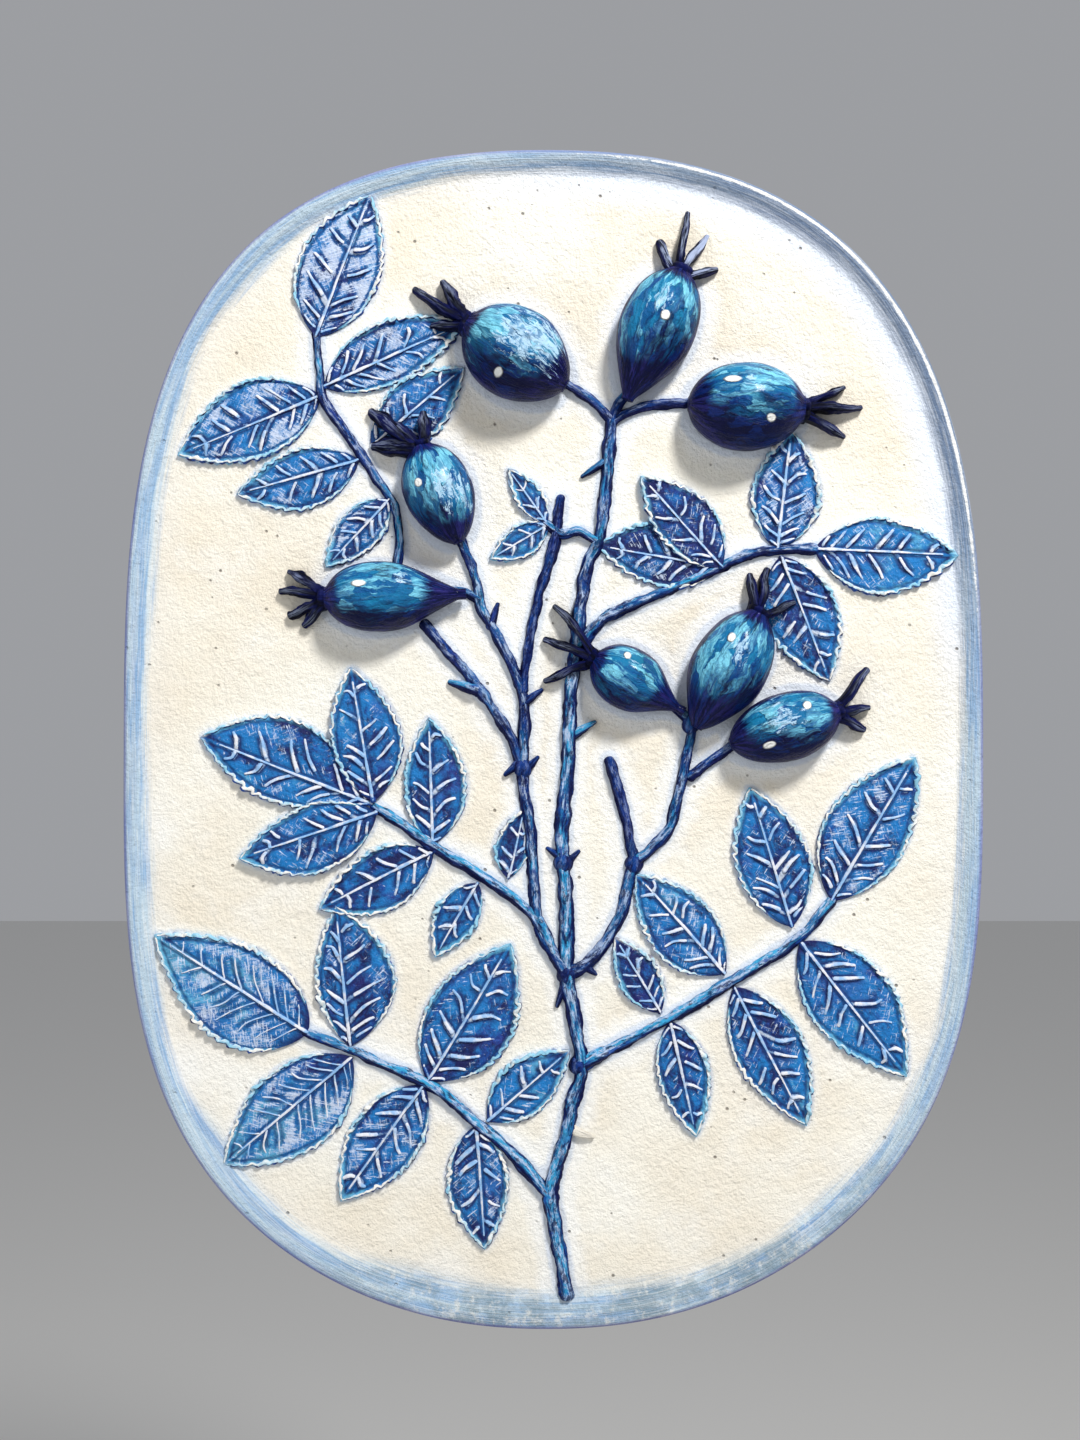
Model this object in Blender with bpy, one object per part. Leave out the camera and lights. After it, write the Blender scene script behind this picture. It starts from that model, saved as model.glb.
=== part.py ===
"""Relief wall plaque: a cast plaster slab with a rose-hip branch modelled on its face.

The plaque hangs with its flat back in the plane Y = 0 and its face towards -Y. The origin
is the middle of the back, X runs to the right and Z runs up. The whole plaque is one
casting, so every leaf, stem and hip is united with the slab.

The branch is laid out on a plan of the face. Plan positions (u, v) run right and down, and
they are stretched to the plaque's width and height, so the layout follows the slab.
"""

import math
from typing import NamedTuple

import bmesh
import bpy
from mathutils import Vector

# Slab, in metres
PLAQUE_WIDTH = 0.175
PLAQUE_HEIGHT = 0.240
GROUND_THICKNESS = 0.0135
SIDE_EXPONENT = 2.22
TOP_EXPONENT = 3.15
OUTLINE_STEPS = 56

# Hand-trimmed edge: a three-lobed and a five-lobed wave on the outline
TRIM_THREE = 0.00047
TRIM_THREE_TURN = math.radians(23)
TRIM_FIVE = 0.00049
TRIM_FIVE_TURN = math.radians(-77)

# Rim: a low lip round the face, wider along the foot
RIM_RISE = 0.0018
RIM_SIDE_WIDTH = 0.0054
RIM_FOOT_WIDTH = 0.0086
RIM_CREST_INSET = 0.0013
RIM_ROUNDING = 0.0011
BACK_BEVEL = 0.0008

# Plan of the face: its middle and its size in plan units, 4.9 to a millimetre here
PLAN_CENTRE = (550.7, 736.2)
PLAN_WIDTH = 857.3
PLAN_HEIGHT = 1175.2

# Leaflets, in metres above the ground of the face
LEAF_EDGE_RISE = 0.00075
LEAF_BODY_RISE = 0.00085
VEIN_RISE = 0.00040
MIDRIB_RISE = 0.00150
TOOTH_DEPTH = 0.07
VEIN_SWEEP = 1.7
BLADE_MIDDLE = 0.50
LEAF_OVERLAP_STEP = 0.00070

# Stems and thorns
MAIN_STEM_RADIUS = 0.00160
BRANCH_RADIUS = 0.00130
LEAF_STALK_RADIUS = 0.00100
TWIG_RADIUS = 0.00110
STEM_AXIS_RISE = 0.00045
STEM_SIDES = 6
STEM_STEP = 0.0065
THORN_RADIUS = 0.00095
KNOT_RADIUS = 0.00190

# Hips and sepals
HIP_ROUNDNESS = 1.45
HIP_SIDES = 12
HIP_RINGS = 7
SEPAL_RADIUS = 0.00110
SEPAL_TIP_RADIUS = 0.00060
SEPAL_TIP_RISE = 0.00110
CROWN_LENGTH = 0.0022

# How far every piece of the relief is set into the slab, so that the union is sound
ROOT_DEPTH = 0.0012


class Leaflet(NamedTuple):
    """A toothed leaflet from its base to its tip, with its half widths in plan units."""

    base: tuple
    tip: tuple
    left: float
    right: float
    veins: int = 4
    level: int = 0


class Stem(NamedTuple):
    """A round stem through its plan points, thinning from one radius to the other."""

    points: tuple
    radius: float
    end_radius: float
    rise: float = STEM_AXIS_RISE


class Hip(NamedTuple):
    """A hip from its stalk end to its blossom end, with its sepal tips."""

    stalk: tuple
    blossom: tuple
    width: float
    fullness: float
    sepals: tuple


LEAFLETS = (
    # Upper left spray
    Leaflet((317, 338), (371, 196), 46, 40),
    Leaflet((325, 388), (466, 324), 37, 27),
    Leaflet((321, 397), (178, 456), 35, 43),
    Leaflet((372, 448), (465, 368), 30, 31, veins=3),
    Leaflet((359, 461), (237, 495), 34, 28, veins=3),
    Leaflet((390, 500), (326, 568), 21, 24, veins=2),
    # Right spray
    Leaflet((814, 550), (958, 556), 34, 42),
    Leaflet((777, 550), (791, 431), 32, 38, veins=3),
    Leaflet((780, 557), (829, 682), 36, 40),
    Leaflet((721, 568), (640, 477), 27, 32, veins=3, level=1),
    Leaflet((721, 568), (596, 546), 30, 36),
    # Pair beside the central stem
    Leaflet((547, 524), (508, 469), 13, 15, veins=2),
    Leaflet((549, 525), (490, 560), 17, 16, veins=2),
    # Middle left spray
    Leaflet((372, 804), (201, 737), 34, 47),
    Leaflet((374, 801), (351, 667), 31, 39, level=1),
    Leaflet((377, 812), (240, 858), 40, 29, level=2),
    Leaflet((433, 844), (429, 717), 27, 36, veins=3),
    Leaflet((433, 852), (319, 909), 34, 29, veins=3),
    Leaflet((508, 878), (524, 809), 21, 14, veins=2),
    Leaflet((478, 883), (435, 957), 20, 23, veins=2),
    # Lower left spray
    Leaflet((308, 1032), (155, 934), 47, 38),
    Leaflet((351, 1045), (336, 905), 27, 52),
    Leaflet((352, 1057), (224, 1164), 48, 41),
    Leaflet((428, 1080), (511, 943), 41, 49),
    Leaflet((424, 1085), (341, 1200), 32, 35),
    Leaflet((488, 1120), (570, 1049), 28, 20, veins=3),
    Leaflet((476, 1125), (485, 1248), 27, 34, veins=3),
    # Lower right spray
    Leaflet((831, 900), (915, 757), 47, 38),
    Leaflet((791, 926), (749, 787), 32, 38),
    Leaflet((800, 942), (906, 1076), 43, 37),
    Leaflet((734, 987), (806, 1125), 38, 32),
    Leaflet((724, 973), (635, 873), 38, 31),
    Leaflet((660, 1012), (614, 936), 22, 21, veins=2),
    Leaflet((670, 1021), (696, 1136), 28, 25, veins=3),
)

STEMS = (
    # Central stem, from the foot to the fork under the top hips
    Stem(
        (
            (566, 1294), (562, 1267), (554, 1221), (551, 1187), (563, 1145), (573, 1102),
            (581, 1068), (574, 1016), (567, 974), (566, 896), (562, 847), (566, 786),
            (571, 694), (576, 645), (586, 571), (599, 540), (606, 480), (612, 423),
        ),
        MAIN_STEM_RADIUS,
        BRANCH_RADIUS,
    ),
    # Left stem, up to the third hip
    Stem(
        (
            (567, 974), (552, 951), (537, 920), (531, 840), (523, 775), (523, 700),
            (502, 645), (482, 609), (476, 580), (461, 541),
        ),
        BRANCH_RADIUS,
        LEAF_STALK_RADIUS,
    ),
    # Cut twig between the left and the central stem
    Stem(((523, 690), (528, 650), (539, 596), (554, 545), (561, 499)), TWIG_RADIUS, TWIG_RADIUS),
    # Side branch behind the fourth hip
    Stem(((520, 765), (508, 733), (476, 685), (449, 653), (424, 624)), TWIG_RADIUS, TWIG_RADIUS),
    # Right branch, up to the seventh hip, and its cut twig
    Stem(
        (
            (567, 974), (588, 962), (607, 938), (622, 909), (633, 865), (649, 850),
            (668, 829), (677, 799), (685, 762), (692, 728),
        ),
        BRANCH_RADIUS,
        TWIG_RADIUS,
    ),
    Stem(((634, 864), (627, 826), (618, 789), (610, 760)), TWIG_RADIUS, TWIG_RADIUS),
    # Stalks of the hips
    Stem(((612, 423), (598, 407), (581, 394), (560, 381)), LEAF_STALK_RADIUS, LEAF_STALK_RADIUS),
    Stem(((612, 423), (618, 406), (630, 392)), LEAF_STALK_RADIUS, LEAF_STALK_RADIUS),
    Stem(((612, 423), (627, 414), (651, 406), (692, 403)), LEAF_STALK_RADIUS, LEAF_STALK_RADIUS),
    Stem(((480, 600), (462, 592), (440, 592)), LEAF_STALK_RADIUS, LEAF_STALK_RADIUS),
    Stem(((690, 722), (680, 712), (668, 700)), TWIG_RADIUS, TWIG_RADIUS),
    Stem(((690, 776), (710, 761), (736, 742)), TWIG_RADIUS, LEAF_STALK_RADIUS),
    # Leaf stalks of the sprays
    Stem(
        (
            (317, 335), (320, 372), (324, 399), (352, 442), (379, 482), (396, 510),
            (400, 540), (397, 572),
        ),
        LEAF_STALK_RADIUS,
        LEAF_STALK_RADIUS,
    ),
    Stem(
        ((578, 648), (605, 619), (655, 596), (704, 575), (746, 556), (777, 550), (815, 550)),
        BRANCH_RADIUS,
        LEAF_STALK_RADIUS,
    ),
    Stem(((596, 542), (579, 532), (562, 535), (546, 524)), LEAF_STALK_RADIUS, LEAF_STALK_RADIUS),
    Stem(
        (
            (552, 951), (537, 921), (513, 897), (475, 871), (437, 848), (400, 823),
            (374, 806),
        ),
        BRANCH_RADIUS,
        LEAF_STALK_RADIUS,
    ),
    Stem(
        (
            (550, 1197), (530, 1172), (505, 1146), (476, 1122), (451, 1100), (426, 1082),
            (389, 1066), (355, 1051), (306, 1031),
        ),
        BRANCH_RADIUS,
        LEAF_STALK_RADIUS,
    ),
    Stem(
        ((580, 1064), (612, 1048), (667, 1019), (734, 979), (795, 940), (832, 900)),
        BRANCH_RADIUS,
        LEAF_STALK_RADIUS,
    ),
)

THORNS = (
    ((604, 463), (582, 477)),
    ((573, 735), (595, 722)),
    ((523, 704), (542, 690)),
    ((490, 627), (498, 604)),
    ((478, 690), (451, 683)),
    ((520, 762), (505, 775)),
    ((526, 770), (538, 757)),
    ((563, 858), (547, 848)),
    ((565, 864), (579, 851)),
    ((573, 1129), (593, 1137)),
    ((584, 964), (596, 974)),
    ((566, 978), (557, 1006)),
    ((578, 1066), (592, 1061)),
)

KNOTS = ((567, 974), (578, 1064), (690, 724), (634, 864), (523, 768), (563, 862))

HIPS = (
    Hip((566, 386), (468, 323), 90, 1.05, ((415, 290), (442, 284), (424, 313), (448, 330))),
    Hip((627, 400), (681, 272), 77, 1.25, ((661, 242), (688, 216), (706, 238), (716, 272))),
    Hip((688, 404), (804, 409), 85, 1.00, ((844, 390), (859, 411), (843, 438))),
    Hip((459, 543), (421, 446), 69, 1.10, ((370, 448), (374, 416), (390, 408), (432, 420))),
    Hip((466, 594), (325, 598), 70, 1.45, ((290, 571), (280, 593), (287, 616), (305, 628))),
    Hip((684, 712), (594, 658), 62, 1.45, ((554, 606), (545, 639), (546, 682))),
    Hip((696, 728), (759, 614), 76, 1.05, ((747, 572), (767, 568), (797, 602), (738, 600))),
    Hip((730, 744), (838, 711), 68, 1.10, ((867, 669), (868, 708), (864, 732))),
)


def on_plaque(point, rise=0.0):
    """The place in metres of a plan point, raised from the ground of the face."""
    return Vector((
        (point[0] - PLAN_CENTRE[0]) / PLAN_WIDTH * PLAQUE_WIDTH,
        -GROUND_THICKNESS - rise,
        (PLAN_CENTRE[1] - point[1]) / PLAN_HEIGHT * PLAQUE_HEIGHT,
    ))


def outline_point(turn):
    """One point of the slab's edge in the plane of the back, at this turn from +X."""
    across = math.copysign(abs(math.cos(turn)) ** (2 / SIDE_EXPONENT), math.cos(turn))
    up = math.copysign(abs(math.sin(turn)) ** (2 / TOP_EXPONENT), math.sin(turn))
    trim = TRIM_THREE * math.cos(3 * turn - TRIM_THREE_TURN)
    trim += TRIM_FIVE * math.cos(5 * turn - TRIM_FIVE_TURN)
    edge = Vector((across * PLAQUE_WIDTH / 2, 0, up * PLAQUE_HEIGHT / 2))
    return edge * (1 + trim / edge.length)


def even_outline():
    """The edge's points at even steps of its length."""
    fine = [outline_point(2 * math.pi * i / 1440) for i in range(1440)]
    lengths = [0.0]
    for i, point in enumerate(fine):
        lengths.append(lengths[-1] + (fine[(i + 1) % 1440] - point).length)
    points = []
    i = 0
    for k in range(OUTLINE_STEPS):
        wanted = lengths[-1] * k / OUTLINE_STEPS
        while lengths[i + 1] < wanted:
            i += 1
        share = (wanted - lengths[i]) / (lengths[i + 1] - lengths[i])
        points.append(fine[i].lerp(fine[(i + 1) % 1440], share))
    return points


def inset(points, distances):
    """The outline's points moved inwards, square to the edge."""
    moved = []
    for i, point in enumerate(points):
        along = (points[(i + 1) % len(points)] - points[i - 1]).normalized()
        inward = Vector((-along.z, 0, along.x))
        if inward.dot(point) > 0:
            inward.negate()
        moved.append(point + inward * distances[i])
    return moved


def object_from(name, bm, material):
    """A mesh object of this bmesh, with outward faces and smooth shading over soft edges."""
    bmesh.ops.recalc_face_normals(bm, faces=bm.faces)
    mesh = bpy.data.meshes.new(name)
    bm.to_mesh(mesh)
    bm.free()
    mesh.materials.append(material)
    mesh.shade_smooth()
    mesh.set_sharp_from_angle(angle=math.radians(40))
    obj = bpy.data.objects.new(name, mesh)
    bpy.context.scene.collection.objects.link(obj)
    return obj


def bridge(bm, ring, following):
    """Side faces between two closed rings of vertices."""
    count = len(ring)
    for i in range(count):
        j = (i + 1) % count
        bm.faces.new((ring[i], ring[j], following[j], following[i]))


def closed_stack(bm, rings):
    """A closed body through these rings of points, with flat ends."""
    stack = [[bm.verts.new(point) for point in ring] for ring in rings]
    for ring, following in zip(stack, stack[1:]):
        bridge(bm, ring, following)
    bm.faces.new(stack[0])
    bm.faces.new(stack[-1])


def make_slab(material):
    """The slab with its rounded edge, raised rim and flat ground."""
    edge = even_outline()
    lip = []
    for point in edge:
        low = max(0.0, -2 * point.z / PLAQUE_HEIGHT) ** 4
        lip.append(RIM_SIDE_WIDTH + (RIM_FOOT_WIDTH - RIM_SIDE_WIDTH) * low)
    crest = GROUND_THICKNESS + RIM_RISE
    profile = (
        (lambda w: BACK_BEVEL, 0.0),
        (lambda w: 0.0, BACK_BEVEL),
        (lambda w: 0.0, crest - RIM_ROUNDING),
        (lambda w: 0.3 * RIM_CREST_INSET, crest - 0.3 * RIM_ROUNDING),
        (lambda w: RIM_CREST_INSET, crest),
        (lambda w: RIM_CREST_INSET + 0.3 * (w - RIM_CREST_INSET), crest - 0.28 * RIM_RISE),
        (lambda w: RIM_CREST_INSET + 0.7 * (w - RIM_CREST_INSET), crest - 0.85 * RIM_RISE),
        (lambda w: w, GROUND_THICKNESS),
    )
    rings = []
    for inwards, height in profile:
        ring = inset(edge, [inwards(w) for w in lip])
        rings.append([Vector((p.x, -height, p.z)) for p in ring])
    bm = bmesh.new()
    closed_stack(bm, rings)
    return object_from("relief_plaque", bm, material)


def blade_width(share):
    """Half width of a leaflet at this share of its length, as a share of its greatest."""
    return math.sin(math.pi * share**0.88) ** 0.82


def make_leaflet(name, leaf, material):
    """A leaflet whose rows are its veins and the hollows between them.

    Each row leaves the midrib and sweeps towards the tip. A vein's row ends on a tooth of
    the edge, and a hollow's row ends in the notch between two teeth.
    """
    base = Vector(leaf.base)
    along = Vector(leaf.tip) - base
    length = along.length
    along.normalize()
    left = Vector((along.y, -along.x))
    level = leaf.level * LEAF_OVERLAP_STEP
    rows = 2 * leaf.veins + 1
    bm = bmesh.new()

    def vertex(station, offset, rise):
        point = base + along * (length * station) + left * offset
        return bm.verts.new(on_plaque(point, rise + level))

    foot = vertex(0, 0, LEAF_EDGE_RISE)
    point = vertex(1, 0, LEAF_EDGE_RISE)
    ribs = [foot]
    for k in range(1, rows):
        share = k / rows
        ribs.append(vertex(share**VEIN_SWEEP, 0, MIDRIB_RISE - 0.35 * share * MIDRIB_RISE))
    ribs.append(point)
    edges = []
    for side, half_width in ((1, leaf.left), (-1, leaf.right)):
        columns = [[foot], [foot]]
        for k in range(1, rows):
            share = k / rows
            vein = VEIN_RISE if k % 2 else 0.0
            tooth = TOOTH_DEPTH if k % 2 else -TOOTH_DEPTH
            rib = share**VEIN_SWEEP
            width = half_width * blade_width(share)
            places = (
                (BLADE_MIDDLE, LEAF_BODY_RISE + vein),
                (1 + tooth / 2, LEAF_EDGE_RISE + 0.4 * vein),
            )
            for column, (out, rise) in zip(columns, places):
                station = rib + (share - rib) * out**0.85
                column.append(vertex(station, side * width * out, rise))
        for column in columns:
            column.append(point)
        for inner, outer in zip([ribs, *columns], columns):
            for k in range(rows):
                face = (inner[k], inner[k + 1], outer[k + 1], outer[k])
                bm.faces.new(list(dict.fromkeys(face)))
        edges.append(columns[1])
    border = edges[0] + edges[1][-2:0:-1]
    sunk = []
    for vert in border:
        sunk.append(bm.verts.new(Vector((vert.co.x, -GROUND_THICKNESS + ROOT_DEPTH, vert.co.z))))
    bridge(bm, border, sunk)
    bm.faces.new(sunk)
    return object_from(name, bm, material)


def smooth_path(points, step):
    """Points at even steps along a smooth curve through these points."""
    ends = [2 * points[0] - points[1], *points, 2 * points[-1] - points[-2]]
    path = []
    for a, b, c, d in zip(ends, ends[1:], ends[2:], ends[3:]):
        pieces = max(1, round((c - b).length / step))
        for i in range(pieces):
            t = i / pieces
            path.append(0.5 * (
                2 * b + (c - a) * t
                + (2 * a - 5 * b + 4 * c - d) * t**2
                + (3 * b - a - 3 * c + d) * t**3
            ))
    path.append(points[-1])
    return path


def make_tube(name, points, radii, material, sides=STEM_SIDES):
    """A body along these points with a round back and straight flanks down into the slab."""
    root = -GROUND_THICKNESS + ROOT_DEPTH
    rings = []
    for i, (point, radius) in enumerate(zip(points, radii)):
        along = points[min(i + 1, len(points) - 1)] - points[max(i - 1, 0)]
        across = Vector((along.z, 0, -along.x)).normalized()
        ring = []
        for k in range(sides // 2 + 1):
            turn = 2 * math.pi * k / sides
            out = Vector((0, -radius * math.sin(turn), 0))
            ring.append(point + radius * math.cos(turn) * across + out)
        for flank in (ring[-1], ring[0]):
            ring.append(Vector((flank.x, root, flank.z)))
        rings.append(ring)
    bm = bmesh.new()
    closed_stack(bm, rings)
    return object_from(name, bm, material)


def make_stem(name, stem, material):
    """A stem with its axis a little above the ground, rounded off at both ends."""
    path = smooth_path([on_plaque(point, stem.rise) for point in stem.points], STEM_STEP)
    last = len(path) - 1
    radii = []
    for i in range(len(path)):
        radii.append(stem.radius + (stem.end_radius - stem.radius) * i / last)
    first_cap = path[0] + (path[0] - path[1]).normalized() * 0.6 * stem.radius
    last_cap = path[-1] + (path[-1] - path[-2]).normalized() * 0.6 * stem.end_radius
    path = [first_cap, *path, last_cap]
    radii = [0.45 * stem.radius, *radii, 0.45 * stem.end_radius]
    return make_tube(name, path, radii, material)


def make_thorn(name, thorn, material):
    """A thorn that rises from its stem and thins to a point near the ground."""
    root = on_plaque(thorn[0], STEM_AXIS_RISE)
    tip = on_plaque(thorn[1], STEM_AXIS_RISE)
    return make_tube(name, [root, tip], [THORN_RADIUS, 0.4 * THORN_RADIUS], material)


def make_knot(name, place, material):
    """A round thickening where stems meet."""
    middle = on_plaque(place, STEM_AXIS_RISE)
    half = Vector((0, 0, 0.8 * KNOT_RADIUS))
    path = [middle - half, middle, middle + half]
    return make_tube(name, path, [0.6 * KNOT_RADIUS, KNOT_RADIUS, 0.6 * KNOT_RADIUS], material)


def hip_radius(share, fullness):
    """Radius of a hip at this share of its length from the stalk, as a share of its greatest."""
    bent = share**fullness
    return math.sqrt(max(0.0, 1 - (2 * bent - 1) ** 2))


def make_hip(name, hip, material):
    """A round hip whose flanks run straight down into the slab below its widest line."""
    stalk = Vector(hip.stalk)
    along = Vector(hip.blossom) - stalk
    length = along.length
    along.normalize()
    left = Vector((along.y, -along.x))
    to_metres = 0.5 * (PLAQUE_WIDTH / PLAN_WIDTH + PLAQUE_HEIGHT / PLAN_HEIGHT)
    radius = 0.5 * hip.width * to_metres
    axis_rise = radius * (HIP_ROUNDNESS - 1)
    rings = []
    for i in range(HIP_RINGS + 1):
        share = 0.5 - 0.5 * math.cos(math.pi * (0.06 + 0.88 * i / HIP_RINGS))
        size = hip_radius(share, hip.fullness)
        middle = stalk + along * (length * share)
        ring = []
        for k in range(HIP_SIDES // 2 + 1):
            turn = 2 * math.pi * k / HIP_SIDES
            place = middle + left * (0.5 * hip.width * size * math.cos(turn))
            ring.append(on_plaque(place, axis_rise + radius * size * math.sin(turn)))
        for side in (-1, 1):
            ring.append(on_plaque(middle + left * (0.5 * hip.width * size * side), -ROOT_DEPTH))
        rings.append(ring)
    bm = bmesh.new()
    closed_stack(bm, rings)
    return object_from(name, bm, material)


def make_sepals(name, hip, material):
    """The dried sepals at the blossom end, as tapered strips that fan out to their tips."""
    stalk = Vector(hip.stalk)
    blossom = Vector(hip.blossom)
    to_metres = 0.5 * (PLAQUE_WIDTH / PLAN_WIDTH + PLAQUE_HEIGHT / PLAN_HEIGHT)
    axis_rise = 0.5 * hip.width * to_metres * (HIP_ROUNDNESS - 1)
    inside = blossom + (stalk - blossom) * 0.10
    made = []
    start = on_plaque(inside, axis_rise)
    crown_end = on_plaque(blossom, 0.8 * axis_rise)
    crown_end += (crown_end - start).normalized() * 0.5 * CROWN_LENGTH
    crown = make_tube(
        name + "_crown",
        [start, crown_end],
        [1.5 * CROWN_LENGTH, CROWN_LENGTH],
        material,
        sides=8,
    )
    made.append(crown)
    for number, tip in enumerate(hip.sepals, 1):
        end = on_plaque(tip, SEPAL_TIP_RISE)
        path = [start, crown_end.lerp(end, 0.45), end]
        radii = [1.1 * SEPAL_RADIUS, SEPAL_RADIUS, SEPAL_TIP_RADIUS]
        made.append(make_tube(f"{name}_{number}", path, radii, material, sides=4))
    return made


def make_material(name, colour, roughness):
    """A plain painted-plaster finish."""
    material = bpy.data.materials.new(name)
    material.use_nodes = True
    shader = material.node_tree.nodes["Principled BSDF"]
    shader.inputs["Base Color"].default_value = (*colour, 1)
    shader.inputs["Roughness"].default_value = roughness
    shader.inputs["Metallic"].default_value = 0.0
    material.diffuse_color = (*colour, 1)
    return material


def main():
    for obj in list(bpy.data.objects):
        bpy.data.objects.remove(obj, do_unlink=True)
    plaster = make_material("plaster_cream", (0.78, 0.71, 0.60), 0.85)
    leaf_blue = make_material("leaf_blue", (0.03, 0.13, 0.45), 0.60)
    stem_blue = make_material("stem_blue", (0.02, 0.05, 0.22), 0.50)
    hip_blue = make_material("hip_blue", (0.02, 0.10, 0.30), 0.25)

    plaque = make_slab(plaster)
    relief = []
    for number, leaf in enumerate(LEAFLETS, 1):
        relief.append(make_leaflet(f"leaflet_{number:02}", leaf, leaf_blue))
    for number, stem in enumerate(STEMS, 1):
        relief.append(make_stem(f"stem_{number:02}", stem, stem_blue))
    for number, thorn in enumerate(THORNS, 1):
        relief.append(make_thorn(f"thorn_{number:02}", thorn, stem_blue))
    for number, place in enumerate(KNOTS, 1):
        relief.append(make_knot(f"knot_{number}", place, stem_blue))
    for number, hip in enumerate(HIPS, 1):
        relief.append(make_hip(f"hip_{number}", hip, hip_blue))
        relief.extend(make_sepals(f"sepals_{number}", hip, stem_blue))

    branch = bpy.data.collections.new("branch")
    bpy.context.scene.collection.children.link(branch)
    for piece in relief:
        bpy.context.scene.collection.objects.unlink(piece)
        branch.objects.link(piece)
        piece.hide_render = True
        piece.display_type = "WIRE"
    union = plaque.modifiers.new("union_with_branch", "BOOLEAN")
    union.operation = "UNION"
    union.solver = "EXACT"
    union.operand_type = "COLLECTION"
    union.collection = branch
    union.material_mode = "TRANSFER"


if __name__ == "__main__":
    main()
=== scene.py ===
"""Looks of the relief wall plaque: an oval plaster casting with a rose-hip branch, painted blue.

Every piece rides on the plaque's one body and stands for a part of its one solid. Positions on
the face come from a plan: (u, v) run right and down, 4.9 units to a millimetre.
"""

import logging
import math
from collections.abc import Callable
from dataclasses import dataclass, field
from enum import Enum

import bpy
import numpy as np
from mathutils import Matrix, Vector, kdtree


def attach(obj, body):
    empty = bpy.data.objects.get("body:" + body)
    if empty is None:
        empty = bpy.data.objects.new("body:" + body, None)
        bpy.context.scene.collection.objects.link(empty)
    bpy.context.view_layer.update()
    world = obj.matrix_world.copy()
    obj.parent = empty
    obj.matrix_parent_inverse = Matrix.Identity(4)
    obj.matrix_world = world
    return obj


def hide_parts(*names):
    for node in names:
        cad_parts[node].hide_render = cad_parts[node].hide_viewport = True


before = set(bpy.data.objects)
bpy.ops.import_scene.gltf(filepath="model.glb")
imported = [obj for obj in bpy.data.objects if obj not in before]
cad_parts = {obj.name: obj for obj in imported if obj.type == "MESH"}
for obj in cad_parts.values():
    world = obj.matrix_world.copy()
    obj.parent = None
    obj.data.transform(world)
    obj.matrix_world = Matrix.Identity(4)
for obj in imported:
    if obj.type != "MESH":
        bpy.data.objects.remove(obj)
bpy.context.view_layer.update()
log = logging.getLogger("plaque")

MM = 0.001


def paint(red: int, green: int, blue: int) -> tuple[float, float, float, float]:
    """Give a paint's linear colour.

    Args:
        red: Red as seen on a screen, 0 to 255.
        green: Green, likewise.
        blue: Blue, likewise.

    Returns:
        The linear colour with full opacity.
    """

    def linear(value: int) -> float:
        """Undo the screen's curve for one channel."""
        share = value / 255
        return share / 12.92 if share <= 0.04045 else ((share + 0.055) / 1.055) ** 2.4

    return (linear(red), linear(green), linear(blue), 1.0)


def smooth(low: float, high: float, value: np.ndarray) -> np.ndarray:
    """Rise smoothly from 0 at low to 1 at high."""
    share = np.clip((value - low) / (high - low), 0, 1)
    return share * share * (3 - 2 * share)


def ripple(x: np.ndarray, y: np.ndarray, seed: float) -> np.ndarray:
    """Smooth hand-made unevenness over a surface.

    Args:
        x: First coordinate, one unit to a bump.
        y: Second coordinate, likewise.
        seed: Picks another pattern.

    Returns:
        Values from -1 to 1.
    """
    x, y = np.broadcast_arrays(np.asarray(x, float), np.asarray(y, float))
    col, row = np.floor(x), np.floor(y)
    across, up = x - col, y - row
    across, up = across * across * (3 - 2 * across), up * up * (3 - 2 * up)

    def corner(i: np.ndarray, j: np.ndarray) -> np.ndarray:
        """A fixed value at each whole position."""
        value = np.sin(i * 127.1 + j * 311.7 + seed * 74.7) * 43758.5453
        return value - np.floor(value)

    low = corner(col, row) * (1 - across) + corner(col + 1, row) * across
    high = corner(col, row + 1) * (1 - across) + corner(col + 1, row + 1) * across
    return 2 * (low * (1 - up) + high * up) - 1


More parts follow.
